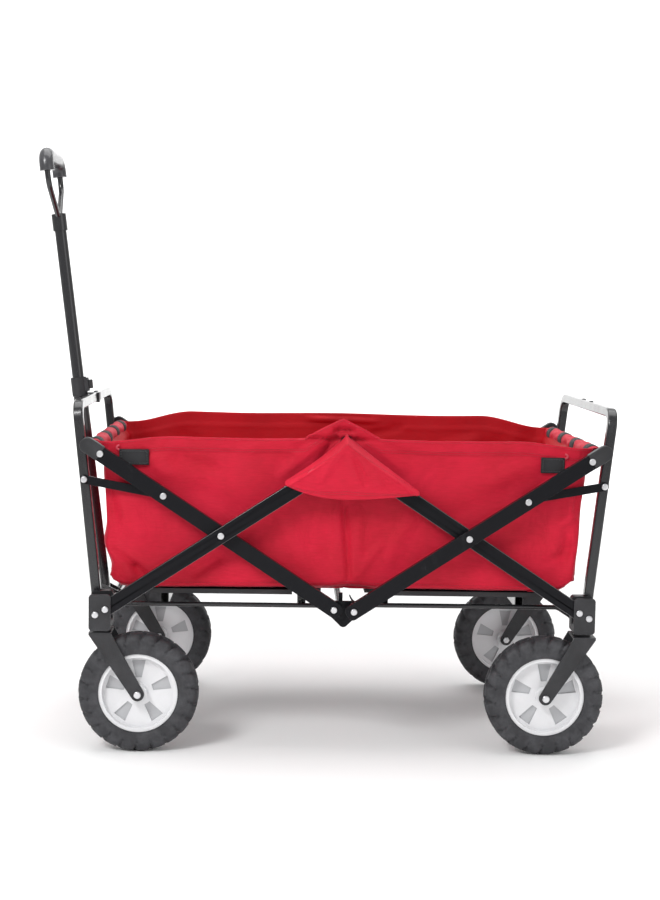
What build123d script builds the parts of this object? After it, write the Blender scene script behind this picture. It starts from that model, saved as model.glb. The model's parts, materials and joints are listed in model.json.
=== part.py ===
from build123d import *
import os
from math import atan2, cos, degrees, hypot, radians, sin, tan

# A folding camp wagon: a scissor frame of flat black tubes carries a fabric tub between two leaning end
# frames. X runs from the front (-, the handle's end) to the rear (+), Y from the near side (-) to the far
# side (+), Z up from the ground. Every size is in millimetres. Most pieces are drawn once, for the rear end
# and the far side, and mirrored to the other places.
FRONT, REAR, NEAR, FAR = "front", "rear", "near", "far"
ENDS = (FRONT, REAR)
SIDES = (NEAR, FAR)

# --- wheels and forks ---
WHEEL_RADIUS = 100
TYRE_WIDTH = 44
TYRE_SHOULDER = 13
HUB_RADIUS = 66
HUB_WIDTH = 36
HUB_RIM = 6
HUB_WEB = 12
HUB_BOSS_RADIUS = 15
HUB_BOSS_WIDTH = 47
HUB_RECESSES = 5
HUB_RECESS_DEPTH = 3
HUB_RECESS_SPAN = 24
AXLE_X = 340
WHEEL_Y = 230
AXLE_RADIUS = 4
SWIVEL_X = 403
CROWN_WIDTH = 36
CROWN_TOP = 204
CROWN_THICK = 4
FORK_GAP = 52
FORK_SHEET = 3
FORK_EYE = 11
SWIVEL_DISC_RADIUS = 14
SWIVEL_DISC_TOP = 207.8
STEM_RADIUS = 5
STEM_TOP = 224
BOLT_HEAD_RADIUS = 6
BOLT_HEAD = 4.5

# --- end frames ---
POST_Y = 222
POST_SIZE = 16
TUBE_WALL = 1.2
POST_FOOT_X = 409
POST_FOOT_Z = 233
POST_TOP_Z = 585
POST_LEAN = 0.105
POST_BEND = 26
KNUCKLE_BOTTOM = 208
KNUCKLE_BASE_TOP = 226
KNUCKLE_TOP = 269
KNUCKLE_IN = 384
KNUCKLE_OUT = 420
KNUCKLE_HALF = 9.5
KNUCKLE_WEB_X = 412
SADDLE_PLATE = 2.5
CROSSBAR_X = 404
CROSSBAR_Z = 219
CROSSBAR_RADIUS = 9
SECOND_RIVET = (409.5, 235)

# --- scissor arms, worked out from the open slope and the half length of a lower arm ---
OPEN_SLOPE = 33.3
HALF_ARM = 225.5
HUB_HALF = 16.3
LOW_PIVOT_Z = 244
RIM_REACH = 256
TOP_RIVET_REACH = 239
LINK_REACH = 114.8
ARM_WIDTH = 25
ARM_THICK = 12
ARM_CORNER = 9
ARM_END = 13
RIM_END = 15
INNER_LAYER = 237
OUTER_LAYER = 251
LINK_LAYER = 231
LINK_THICK = 4
LINK_WIDTH = 14
LINK_POST_Z = 455
RIVET_RADIUS = 4
RIVET_HEAD_RADIUS = 5.5
RIVET_HEAD = 2.6
FLAT_HEAD = 1.2
PIN_GAP = 0.08
PIN_BORE = RIVET_RADIUS + PIN_GAP
FACE_GAP = 0.2

# --- hubs at the middle of each side ---
PLATE_Y = 231
PLATE_THICK = 5
HUB_EYE = 13
LOW_HUB_TIP_Z = 221
LOW_HUB_TIP = 8
HUB_BAR_Z = 222
HUB_BAR_RADIUS = 6
TOP_HUB_TIP_Z = 525
TOP_HUB_TIP = 9

# --- fabric tub ---
CLOTH = 3
TUB_BOTTOM_X = 391
TUB_BOTTOM_Y = 225
TUB_BOTTOM_Z = 273
TUB_TOP_X = 404
TUB_TOP_Y = 227
TUB_TOP_Z = 520
SIDE_RISE = 12
PEAK_Z = 561
PEAK_HALF = 58
END_FLANGE = 74
FLAP_Y = 265.2
FLAP_THICK = 2.4
FLAP_TOP_Z = 526
FLAP_TIP_X = 108
FLAP_TIP_Z = 454
FLAP_LOW_Z = 433
RIM_RADIUS = 7.5
SLEEVE_RADIUS = 13.5
SLEEVE_HALF = 212

# --- folding floor ---
ROD_RADIUS = 4
ROD_Z = 243
ROD_BEND_X = 366
ROD_BEND = 14
ROD_Y = {FRONT: 204, REAR: 195}
ROD_EYE_RADIUS = 12.5
ROD_EYE_HALF = 3.5
ROD_EYE_BORE = CROSSBAR_RADIUS + PIN_GAP
PROP_TOP = 267
PROP_WIDTH = 7
PROP_X = -4.5
PROP_Y = 213
BOARD_X = (37, 335)
BOARD_Y = 213
BOARD_Z = (263, 271)
BATTEN_WIDTH = 14
BATTEN_X = (70, 300)
MAT_X = (37, 314)
MAT_Y = 213
MAT_Z = (273.4, 281)
MAT_CORNER = 3
NOTCH_X = 86
NOTCH_Y = 188

# --- handle, drawn upright from its pivot and then leant out ---
PIVOT_X = -426
PIVOT_Z = 231
HANDLE_LEAN = 7
OUTER_TUBE_RADIUS = 12.7
INNER_TUBE_RADIUS = 10.4
TUBE_FOOT = -8
COLLAR_BOTTOM = 351
COLLAR_TOP = 384
COLLAR_RADIUS = 13.9
INNER_FOOT = 300
YOKE_BLOCK = (645, 668)
YOKE_BLOCK_RADIUS = 13
YOKE_ROD_RADIUS = 5
YOKE_HALF = 76
YOKE_TOP = 760
YOKE_SPREAD = 722
GRIP_RADIUS = 12.5
GRIP_FOOT = 745
GRIP_TOP = 774
GRIP_BEND = 22
BUTTON_Z = 370
BUTTON_TRAVEL = 4
BUTTON_SIZE = (8, 12, 16)
BUTTON_CORNER = 1.5
BUTTON_FOOT = 12.4
HOUSING_SIZE = (17.5, 18, 24)
HOUSING_GAP = 0.2
CLEVIS_Y = (13.2, 16.2)
CLEVIS_EYE = 11
CLIP_Z = (334, 349)
CLIP_BORE = 14.4
CLIP_WALL = 3
TONGUE_SIZE = (22, 20, 17)

# --- places that follow from the sizes above ---
OPEN = radians(OPEN_SLOPE)
LOW_PIVOT_X = HUB_HALF + 2 * HALF_ARM * cos(OPEN)
SCISSOR = (HUB_HALF + HALF_ARM * cos(OPEN), LOW_PIVOT_Z + HALF_ARM * sin(OPEN))
LOW_INNER = (HUB_HALF, LOW_PIVOT_Z)
LOW_OUTER = (LOW_PIVOT_X, LOW_PIVOT_Z)
TOP_INNER = (HUB_HALF, LOW_PIVOT_Z + 2 * HALF_ARM * sin(OPEN))


def along_upper_arm(reach):
    """The point that lies a reach past the scissor pivot on the open upper arm."""
    return (SCISSOR[0] + reach * cos(OPEN), SCISSOR[1] + reach * sin(OPEN))


def post_x(z):
    """The middle of a leaning post at a height."""
    return POST_FOOT_X + POST_LEAN * (z - POST_FOOT_Z)


RIM = along_upper_arm(RIM_REACH)
TOP_RIVET = along_upper_arm(TOP_RIVET_REACH)
LINK_ARM = along_upper_arm(LINK_REACH)
LINK_POST = (post_x(LINK_POST_Z), LINK_POST_Z)
# at the front the upper arms run inside and the lower arms outside, and at the rear the other way round
UPPER_LAYER = {FRONT: INNER_LAYER, REAR: OUTER_LAYER}
LOWER_LAYER = {FRONT: OUTER_LAYER, REAR: INNER_LAYER}


def place(shape, end=REAR, side=FAR):
    """Mirror a piece drawn for the rear and the far side to its own end and side."""
    if end == FRONT:
        shape = mirror(shape, Plane.YZ)
    if side == NEAR:
        shape = mirror(shape, Plane.XZ)
    return shape


def group(*shapes):
    """Separate solids kept together in one node."""
    return Part() + [solid for shape in shapes for solid in shape.solids()]


def both_sides(shape, end):
    """The same piece on the far and the near side, as one group."""
    return group(place(shape, end, FAR), place(shape, end, NEAR))


def upright(sketch, low_y, high_y):
    """Give an outline drawn in X and Z its thickness along Y."""
    return Pos(0, high_y, 0) * Rot(90, 0, 0) * extrude(sketch, high_y - low_y, dir=(0, 0, 1))


def disc(point, radius, low_y, high_y):
    """A round pin or boss along Y at a point in X and Z."""
    return upright(Pos(*point) * Circle(radius), low_y, high_y)


def pipe(radius, bore, low, high):
    """An upright tube, or a plain rod with no bore, between two heights."""
    up = (Align.CENTER, Align.CENTER, Align.MIN)
    body = Pos(0, 0, low) * Cylinder(radius, high - low, align=up)
    if bore:
        body -= Pos(0, 0, low - 1) * Cylinder(bore, high - low + 2, align=up)
    return body


def eye_plate(points_and_radii, low_y, high_y):
    """A plate whose outline wraps tightly round several circles."""
    outline = Sketch() + [Pos(*point) * Circle(radius) for point, radius in points_and_radii]
    return upright(make_hull(outline.edges()), low_y, high_y)


def rivet(point, foot_y, face_y, head=RIVET_HEAD, head_radius=RIVET_HEAD_RADIUS):
    """A pin from its foot to an outer face, with a low domed head standing just off that face."""
    start = face_y + FACE_GAP
    body = disc(point, RIVET_RADIUS, foot_y, start + head / 2) + disc(point, head_radius, start, start + head)
    rim = body.edges().filter_by(GeomType.CIRCLE).sort_by(Axis.Y)[-1]
    return fillet(rim, head * 0.6)


def arm_tube(start, end, layer, before, after, holes):
    """A flat rectangular tube with rounded ends, drilled for its pins."""
    run = hypot(end[0] - start[0], end[1] - start[1])
    angle = degrees(atan2(end[1] - start[1], end[0] - start[0]))
    length = run + before + after
    centre = Pos(start[0], start[1]) * Rot(0, 0, angle) * Pos((run + after - before) / 2, 0)
    body = upright(centre * RectangleRounded(length, ARM_WIDTH, ARM_CORNER), layer, layer + ARM_THICK)
    hollow = centre * Rectangle(length + before, ARM_WIDTH - 2 * TUBE_WALL)
    body -= upright(hollow, layer + TUBE_WALL, layer + ARM_THICK - TUBE_WALL)
    for point in holes:
        body -= disc(point, PIN_BORE, layer - 1, layer + ARM_THICK + 1)
    return body


def upper_arm(end, side):
    """From the lower hub up to the rim bar; it carries the scissor, link and rim rivets."""
    holes = (LOW_INNER, SCISSOR, LINK_ARM, TOP_RIVET)
    return place(arm_tube(LOW_INNER, RIM, UPPER_LAYER[end], ARM_END, RIM_END, holes), end, side)


def lower_arm(end, side):
    """From the foot of a post up to the top hub."""
    holes = (LOW_OUTER, SCISSOR, TOP_INNER)
    return place(arm_tube(LOW_OUTER, TOP_INNER, LOWER_LAYER[end], ARM_END, ARM_END, holes), end, side)


def upper_arm_rivets(end):
    """Scissor pins, the rim bar's rivets and the link's rivets, all fixed in the upper arms."""
    layer = UPPER_LAYER[end]
    face = layer + ARM_THICK
    scissor = rivet(SCISSOR, INNER_LAYER - 1, OUTER_LAYER + ARM_THICK)
    heads = [rivet(point, layer, face) for point in (LINK_ARM, TOP_RIVET)]
    return both_sides(group(scissor, *heads), end)


def rim_bar(end):
    """The bar between the tops of the two upper arms that carries the end of the tub."""
    half = UPPER_LAYER[end]
    bar = disc(RIM, RIM_RADIUS, -half, half) - disc(RIM, RIM_RADIUS - TUBE_WALL, -half - 1, half + 1)
    return place(bar, end)


def rim_sleeve(end):
    """The tub's end hem, rolled round the rim bar."""
    roll = disc(RIM, SLEEVE_RADIUS, -SLEEVE_HALF, SLEEVE_HALF)
    return place(roll - disc(RIM, RIM_RADIUS, -SLEEVE_HALF - 1, SLEEVE_HALF + 1), end)


def link(end):
    """Flat links that hold the posts upright from the upper arms."""
    circles = [(LINK_POST, LINK_WIDTH / 2), (LINK_ARM, LINK_WIDTH / 2)]
    bar = eye_plate(circles, LINK_LAYER, LINK_LAYER + LINK_THICK)
    bar -= disc(LINK_POST, PIN_BORE, LINK_LAYER - 1, LINK_LAYER + LINK_THICK + 1)
    return both_sides(bar, end)


def post_section(size, corner):
    """The leaning posts and top bar of an end frame as one bent square bar."""
    height = (POST_TOP_Z - POST_FOOT_Z) * hypot(1, POST_LEAN) - POST_SIZE / 2
    path = FilletPolyline(
        (0, POST_Y, 0), (0, POST_Y, height), (0, -POST_Y, height), (0, -POST_Y, 0), radius=POST_BEND
    )
    start = Plane(origin=path @ 0, x_dir=(1, 0, 0), z_dir=path % 0)
    bar = sweep(start * RectangleRounded(size, size, corner), path=path)
    return Pos(POST_FOOT_X, 0, POST_FOOT_Z) * Rot(0, degrees(atan2(POST_LEAN, 1)), 0) * bar


def post_frame(end):
    """An end frame: one square tube bent into two leaning posts and a top bar."""
    tube = post_section(POST_SIZE, 3) - post_section(POST_SIZE - 2 * TUBE_WALL, 2)
    for side_y in (-POST_Y - POST_SIZE, POST_Y):
        tube -= disc(LINK_POST, PIN_BORE, side_y, side_y + POST_SIZE)
    return place(tube, end)


def knuckle(end):
    """The bracket at a post's foot: it holds the post, forks round the lower arm and takes the stem."""
    layer = LOWER_LAYER[end]
    face = layer + ARM_THICK
    middle = ((KNUCKLE_IN + KNUCKLE_OUT) / 2, (KNUCKLE_BOTTOM + KNUCKLE_TOP) / 2)
    size = (KNUCKLE_OUT - KNUCKLE_IN, KNUCKLE_TOP - KNUCKLE_BOTTOM)
    outline = Pos(*middle) * RectangleRounded(*size, 6)
    body = upright(outline, POST_Y - KNUCKLE_HALF, POST_Y + KNUCKLE_HALF)
    body += upright(outline, face + 1, face + 1 + SADDLE_PLATE)
    base = RectangleRounded(size[0], KNUCKLE_BASE_TOP - KNUCKLE_BOTTOM, 6)
    base_z = (KNUCKLE_BOTTOM + KNUCKLE_BASE_TOP) / 2
    body += upright(Pos(middle[0], base_z) * base, POST_Y, face + 1 + SADDLE_PLATE)
    web_x = (KNUCKLE_WEB_X + KNUCKLE_OUT) / 2
    web = Pos(web_x, middle[1]) * Rectangle(KNUCKLE_OUT - KNUCKLE_WEB_X, size[1] - 12)
    body += upright(web, POST_Y, face + 1)
    body += disc(LOW_OUTER, 9, POST_Y + KNUCKLE_HALF, layer - FACE_GAP)
    body -= disc(LOW_OUTER, PIN_BORE, POST_Y - KNUCKLE_HALF - 1, face + SADDLE_PLATE + 2)
    body -= disc(SECOND_RIVET, PIN_BORE, POST_Y + KNUCKLE_HALF - 1, face + SADDLE_PLATE + 2)
    body -= post_section(POST_SIZE, 3)
    return body - Pos(SWIVEL_X, WHEEL_Y, 0) * pipe(STEM_RADIUS + PIN_GAP, 0, KNUCKLE_BOTTOM - 1, STEM_TOP + 1)


def knuckles(end):
    """The brackets at the feet of both posts of an end frame."""
    return both_sides(knuckle(end), end)


def frame_rivets(end):
    """The pins of the lower arms and links, and each bracket's second rivet."""
    face = LOWER_LAYER[end] + ARM_THICK + 1 + SADDLE_PLATE
    pin = rivet(LOW_OUTER, POST_Y - KNUCKLE_HALF, face - FACE_GAP)
    second = rivet(SECOND_RIVET, POST_Y + KNUCKLE_HALF - 1, face - FACE_GAP)
    link_pin = rivet(LINK_POST, POST_Y, LINK_LAYER + LINK_THICK)
    return both_sides(group(pin, second, link_pin), end)


def crossbar(end):
    """The round tube between the feet of an end frame, on which the floor hinges."""
    half = POST_Y - KNUCKLE_HALF
    centre = (CROSSBAR_X, CROSSBAR_Z)
    bar = disc(centre, CROSSBAR_RADIUS, -half, half)
    return place(bar - disc(centre, CROSSBAR_RADIUS - 1.5, -half - 1, half + 1), end)


def lower_hub():
    """Welded plates at the foot of each scissor, joined across the wagon by a tube with two props."""
    circles = [((-HUB_HALF, LOW_PIVOT_Z), HUB_EYE), (LOW_INNER, HUB_EYE), ((0, LOW_HUB_TIP_Z), LOW_HUB_TIP)]
    plate = eye_plate(circles, PLATE_Y, PLATE_Y + PLATE_THICK)
    plate += disc(LOW_INNER, 9, PLATE_Y + PLATE_THICK, OUTER_LAYER - FACE_GAP)
    for sign in (-1, 1):
        plate -= disc((sign * HUB_HALF, LOW_PIVOT_Z), PIN_BORE, PLATE_Y - 1, OUTER_LAYER)
    prop = Box(PROP_WIDTH, PROP_WIDTH, PROP_TOP - HUB_BAR_Z, align=(Align.CENTER, Align.CENTER, Align.MIN))
    plate += Pos(PROP_X, PROP_Y, HUB_BAR_Z) * prop
    bar = disc((0, HUB_BAR_Z), HUB_BAR_RADIUS, -PLATE_Y - 1, PLATE_Y + 1)
    return plate + place(plate, REAR, NEAR) + bar


def lower_hub_rivets():
    """The pins on which the four upper arms turn."""
    pins = []
    for end, sign in ((FRONT, -1), (REAR, 1)):
        pins.append(rivet((sign * HUB_HALF, LOW_PIVOT_Z), PLATE_Y, UPPER_LAYER[end] + ARM_THICK))
    return both_sides(group(*pins), REAR)


def top_hub():
    """The plates over each scissor that join the lower arms of both ends."""
    circles = [((-HUB_HALF, TOP_INNER[1]), HUB_EYE), (TOP_INNER, HUB_EYE), ((0, TOP_HUB_TIP_Z), TOP_HUB_TIP)]
    plate = eye_plate(circles, PLATE_Y, PLATE_Y + PLATE_THICK)
    plate += disc((-TOP_INNER[0], TOP_INNER[1]), 9, PLATE_Y + PLATE_THICK, OUTER_LAYER - FACE_GAP)
    for sign in (-1, 1):
        plate -= disc((sign * HUB_HALF, TOP_INNER[1]), PIN_BORE, PLATE_Y - 1, OUTER_LAYER)
    return both_sides(plate, REAR)


def top_hub_rivets():
    """The flat-headed pins under the flaps."""
    pins = []
    for end, sign in ((FRONT, -1), (REAR, 1)):
        pins.append(rivet((sign * HUB_HALF, TOP_INNER[1]), PLATE_Y, LOWER_LAYER[end] + ARM_THICK, FLAT_HEAD))
    return both_sides(group(*pins), REAR)


def tub_block(inset, drop=0):
    """The tub's tapered block, made smaller all round by an inset."""
    low = Pos(0, 0, TUB_BOTTOM_Z - drop) * Rectangle(2 * (TUB_BOTTOM_X - inset), 2 * (TUB_BOTTOM_Y - inset))
    high = Pos(0, 0, TUB_TOP_Z + drop) * Rectangle(2 * (TUB_TOP_X - inset), 2 * (TUB_TOP_Y - inset))
    return loft([low, high])


def tub_side(peak):
    """The part of a long side that stands above the end hems, with the near side's tented peak."""
    rise = TUB_TOP_Z + SIDE_RISE
    crest = [(-PEAK_HALF, rise), (0, PEAK_Z), (PEAK_HALF, rise)] if peak else []
    points = [(-TUB_TOP_X, TUB_TOP_Z - 1), (-TUB_TOP_X * 0.6, rise), *crest]
    points += [(TUB_TOP_X * 0.6, rise), (TUB_TOP_X, TUB_TOP_Z - 1)]
    return upright(Polygon(*points, align=None), TUB_TOP_Y - CLOTH, TUB_TOP_Y)


def bag_walls():
    """The tub's four walls with a flange inwards along the foot of each end wall."""
    walls = tub_block(0) - tub_block(CLOTH, drop=1)
    walls += tub_side(False) + place(tub_side(True), REAR, NEAR)
    flange = Pos(TUB_BOTTOM_X - END_FLANGE / 2 - 1, 0, TUB_BOTTOM_Z + CLOTH / 2)
    flange *= Box(END_FLANGE, 2 * TUB_BOTTOM_Y - 2, CLOTH)
    return walls + flange + place(flange, FRONT)


def hub_flaps():
    """Fabric flaps that hang over the top hubs."""
    crown = Line((-FLAP_TIP_X, FLAP_TIP_Z), (0, FLAP_TOP_Z)) + Line((0, FLAP_TOP_Z), (FLAP_TIP_X, FLAP_TIP_Z))
    hem = ThreePointArc((FLAP_TIP_X, FLAP_TIP_Z), (0, FLAP_LOW_Z), (-FLAP_TIP_X, FLAP_TIP_Z))
    outline = make_face([*crown.edges(), hem])
    return both_sides(upright(outline, FLAP_Y, FLAP_Y + FLAP_THICK), REAR)


def floor_rods(end):
    """Half of the folding floor frame: two bent rods with eyes, and battens under the board."""
    y = ROD_Y[end]
    crossbar_point = (CROSSBAR_X, CROSSBAR_Z)
    slope = atan2(ROD_Z - CROSSBAR_Z, ROD_BEND_X - CROSSBAR_X)
    start = (CROSSBAR_X + 11 * cos(slope), y, CROSSBAR_Z + 11 * sin(slope))
    path = FilletPolyline(start, (ROD_BEND_X, y, ROD_Z), (0, y, ROD_Z), radius=ROD_BEND)
    rod = sweep(Plane(origin=path @ 0, z_dir=path % 0) * Circle(ROD_RADIUS), path=path)
    rod += disc(crossbar_point, ROD_EYE_RADIUS, y - ROD_EYE_HALF, y + ROD_EYE_HALF)
    rod -= disc(crossbar_point, ROD_EYE_BORE, y - ROD_EYE_RADIUS, y + ROD_EYE_RADIUS)
    rod += disc((0, ROD_Z), ROD_RADIUS + 2, y - ROD_EYE_HALF, y + ROD_EYE_HALF)
    frame = rod + place(rod, REAR, NEAR)
    for x in BATTEN_X:
        height = BOARD_Z[0] - ROD_Z
        batten = Box(BATTEN_WIDTH, 2 * y + ROD_RADIUS, height)
        batten -= Box(BATTEN_WIDTH - 2 * TUBE_WALL, 2 * y + 2 * ROD_RADIUS, height - 2 * TUBE_WALL)
        frame += Pos(x, 0, ROD_Z + height / 2) * batten
    return place(frame, end)


def half_panel(x_range, half_y, z_range):
    """A flat panel over one half of the floor, notched where the other half's rods pass as it folds."""
    size = (x_range[1] - x_range[0], 2 * half_y, z_range[1] - z_range[0])
    panel = Pos(sum(x_range) / 2, 0, sum(z_range) / 2) * Box(*size)
    notch_x = (x_range[0] + NOTCH_X) / 2
    notch_y = (NOTCH_Y + half_y) / 2 + 1
    notch = Box(NOTCH_X - x_range[0] + 2, half_y - NOTCH_Y + 2, size[2] + 2)
    for sign in (-1, 1):
        panel -= Pos(notch_x - 1, sign * notch_y, sum(z_range) / 2) * notch
    return panel


def floor_board(end):
    """A stiff board on each half of the floor frame."""
    return place(half_panel(BOARD_X, BOARD_Y, BOARD_Z), end)


def floor_mat(end):
    """The padded fabric floor of the tub on one half."""
    panel = half_panel(MAT_X, MAT_Y, MAT_Z)
    return place(fillet(panel.edges().filter_by(Axis.Z), MAT_CORNER), end)


def fork(end, side):
    """A bent sheet fork: two tapered legs that trail to the axle, a crown and a swivel bearing."""
    half = FORK_GAP / 2
    left = SWIVEL_X - CROWN_WIDTH / 2
    middle = (SWIVEL_X, CROWN_TOP - CROWN_THICK / 2)
    outline = Sketch() + Pos(AXLE_X, WHEEL_RADIUS) * Circle(FORK_EYE)
    outline += Pos(*middle) * Rectangle(CROWN_WIDTH, CROWN_THICK)
    leg_face = make_hull(outline.edges())
    body = Pos(left, WHEEL_Y - half - FORK_SHEET, CROWN_TOP - CROWN_THICK) * Box(
        CROWN_WIDTH, FORK_GAP + 2 * FORK_SHEET, CROWN_THICK, align=Align.MIN
    )
    for low in (WHEEL_Y - half - FORK_SHEET, WHEEL_Y + half):
        body += upright(leg_face, low, low + FORK_SHEET)
    body -= disc((AXLE_X, WHEEL_RADIUS), AXLE_RADIUS + PIN_GAP, WHEEL_Y - half - 9, WHEEL_Y + half + 9)
    body += Pos(SWIVEL_X, WHEEL_Y, 0) * pipe(SWIVEL_DISC_RADIUS, 0, CROWN_TOP, SWIVEL_DISC_TOP)
    body += Pos(SWIVEL_X, WHEEL_Y, 0) * pipe(STEM_RADIUS, 0, CROWN_TOP, STEM_TOP)
    return place(body, end, side)


def axle(end, side):
    """An axle bolt with a domed head outside and a nut inside."""
    centre = (AXLE_X, WHEEL_RADIUS)
    outer = WHEEL_Y + FORK_GAP / 2 + FORK_SHEET
    inner = WHEEL_Y - FORK_GAP / 2 - FORK_SHEET
    body = disc(centre, AXLE_RADIUS, inner, outer)
    body += disc(centre, BOLT_HEAD_RADIUS, outer, outer + BOLT_HEAD)
    body += upright(Pos(*centre) * RegularPolygon(BOLT_HEAD_RADIUS, 6), inner - BOLT_HEAD, inner)
    rim = body.edges().filter_by(GeomType.CIRCLE).sort_by(Axis.Y)[-1]
    return place(fillet(rim, 1.5), end, side)


def tyre(end, side):
    """A solid tyre with rounded shoulders."""
    body = Cylinder(WHEEL_RADIUS, TYRE_WIDTH)
    body = fillet(body.edges().filter_by(GeomType.CIRCLE), TYRE_SHOULDER)
    body -= Cylinder(HUB_RADIUS, TYRE_WIDTH + 2)
    return place(Pos(AXLE_X, WHEEL_Y, WHEEL_RADIUS) * Rot(90, 0, 0) * body, end, side)


def wheel_hub(end, side):
    """A moulded hub: rim, web with wedge-shaped recesses on both faces, and a bored boss."""
    body = Cylinder(HUB_RADIUS, HUB_WIDTH) - Cylinder(HUB_RADIUS - HUB_RIM, HUB_WIDTH + 2)
    body += Cylinder(HUB_RADIUS - HUB_RIM / 2, HUB_WEB)
    inner, outer = HUB_BOSS_RADIUS + 9, HUB_RADIUS - HUB_RIM - 6
    spread = tan(radians(HUB_RECESS_SPAN / 2))
    corners = [(reach, sign * reach * spread) for sign in (-1, 1) for reach in (inner, outer)[::sign]]
    cut = extrude(Polygon(*corners, align=None), HUB_RECESS_DEPTH + 1, dir=(0, 0, 1))
    for turn in range(HUB_RECESSES):
        turned = Rot(0, 0, 90 + turn * 360 / HUB_RECESSES) * cut
        body -= Pos(0, 0, HUB_WEB / 2 - HUB_RECESS_DEPTH) * turned
        body -= Pos(0, 0, -HUB_WEB / 2 - 1) * turned
    body += Cylinder(HUB_BOSS_RADIUS, HUB_BOSS_WIDTH)
    body -= Cylinder(AXLE_RADIUS + PIN_GAP, HUB_BOSS_WIDTH + 2)
    return place(Pos(AXLE_X, WHEEL_Y, WHEEL_RADIUS) * Rot(90, 0, 0) * body, end, side)


def lean_out(shape):
    """Stand a piece of the handle on its pivot at the handle's own lean."""
    return Pos(PIVOT_X, 0, PIVOT_Z) * Rot(0, -HANDLE_LEAN, 0) * shape


def handle_outer_tube():
    """The lower tube of the pole, drilled for its pivot pin."""
    tube = pipe(OUTER_TUBE_RADIUS, OUTER_TUBE_RADIUS - TUBE_WALL, TUBE_FOOT, COLLAR_BOTTOM)
    return lean_out(tube - disc((0, 0), PIN_BORE, -OUTER_TUBE_RADIUS - 1, OUTER_TUBE_RADIUS + 1))


def handle_collar():
    """The lock collar: a guide plug for the inner tube below, and a housing for the button on one side."""
    bore = INNER_TUBE_RADIUS + PIN_GAP
    low_side = (Align.MIN, Align.CENTER, Align.CENTER)
    length, width, height = HOUSING_SIZE
    collar = pipe(COLLAR_RADIUS, bore, COLLAR_BOTTOM, COLLAR_TOP)
    collar += pipe(OUTER_TUBE_RADIUS - TUBE_WALL, bore, COLLAR_BOTTOM - 12, COLLAR_BOTTOM)
    housing = Pos(0, 0, BUTTON_Z) * Box(length, width, height, align=low_side)
    pocket = Box(length, BUTTON_SIZE[1] + 2 * HOUSING_GAP, BUTTON_SIZE[2] + 2 * HOUSING_GAP, align=low_side)
    collar += housing - pipe(bore, 0, BUTTON_Z - height, BUTTON_Z + height)
    return lean_out(collar - Pos(BUTTON_FOOT, 0, BUTTON_Z) * pocket)


def handle_button():
    """The sprung lock button on the wagon's side of the collar, out at rest."""
    foot = BUTTON_FOOT + BUTTON_TRAVEL + HOUSING_GAP
    body = Pos(foot, 0, BUTTON_Z) * Box(*BUTTON_SIZE, align=(Align.MIN, Align.CENTER, Align.CENTER))
    return lean_out(fillet(body.edges(), BUTTON_CORNER))


def handle_inner_tube():
    """The telescoping tube."""
    return lean_out(pipe(INNER_TUBE_RADIUS, INNER_TUBE_RADIUS - TUBE_WALL, INNER_FOOT, YOKE_BLOCK[1] - 5))


def handle_yoke():
    """A block on top of the inner tube with two rods that spread to the ends of the grip."""
    low, high = YOKE_BLOCK
    body = pipe(YOKE_BLOCK_RADIUS, INNER_TUBE_RADIUS, low, high - 5)
    body += pipe(YOKE_BLOCK_RADIUS, 0, high - 5, high + 7)
    path = FilletPolyline((0, 5, high), (0, YOKE_HALF, YOKE_SPREAD), (0, YOKE_HALF, YOKE_TOP), radius=28)
    rod = sweep(Plane(origin=path @ 0, z_dir=path % 0) * Circle(YOKE_ROD_RADIUS), path=path)
    return lean_out(body + rod + place(rod, REAR, NEAR))


def handle_grip():
    """A moulded grip, a bar with both ends turned down over the yoke's rods."""
    path = FilletPolyline(
        (0, YOKE_HALF, GRIP_FOOT),
        (0, YOKE_HALF, GRIP_TOP),
        (0, -YOKE_HALF, GRIP_TOP),
        (0, -YOKE_HALF, GRIP_FOOT),
        radius=GRIP_BEND,
    )
    body = sweep(Plane(origin=path @ 0, z_dir=path % 0) * Circle(GRIP_RADIUS), path=path)
    for y in (-YOKE_HALF, YOKE_HALF):
        body -= Pos(0, y, 0) * pipe(YOKE_ROD_RADIUS, 0, GRIP_FOOT - 1, YOKE_TOP)
    return lean_out(body)


def handle_clevis():
    """Two ears on the front crossbar and the pin on which the pole tilts."""
    pivot = (PIVOT_X, PIVOT_Z)
    foot = (-CROSSBAR_X, CROSSBAR_Z + 1.5)
    low, high = CLEVIS_Y
    ear = eye_plate([(pivot, CLEVIS_EYE), (foot, CROSSBAR_RADIUS + 1)], low, high)
    ear -= disc((-CROSSBAR_X, CROSSBAR_Z), CROSSBAR_RADIUS, low - 1, high + 1)
    pin = disc(pivot, RIVET_RADIUS, -high - 2, high + 2)
    return ear + place(ear, REAR, NEAR) + pin


def handle_clip():
    """An open saddle on the front frame's top bar that the pole rests in, with its two screws."""
    low, high = CLIP_Z
    up = (Align.CENTER, Align.CENTER, Align.MIN)
    ring = pipe(CLIP_BORE + CLIP_WALL, CLIP_BORE, low, high)
    open_side = Pos(-CLIP_BORE, 0, low - 1) * Box(2 * CLIP_BORE, 4 * CLIP_BORE, high - low + 2, align=up)
    saddle = lean_out(ring - open_side)
    tongue_x = -post_x(POST_TOP_Z) + 1
    tongue_z = POST_TOP_Z - 8
    tongue = Pos(tongue_x, 0, tongue_z) * Box(*TONGUE_SIZE)
    keep_out = lean_out(Pos(-CLIP_BORE, 0, 0) * pipe(2 * CLIP_BORE, 0, low - 30, high + 50))
    body = saddle + (tongue - keep_out)
    return body - place(post_section(POST_SIZE, 3), FRONT)


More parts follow.
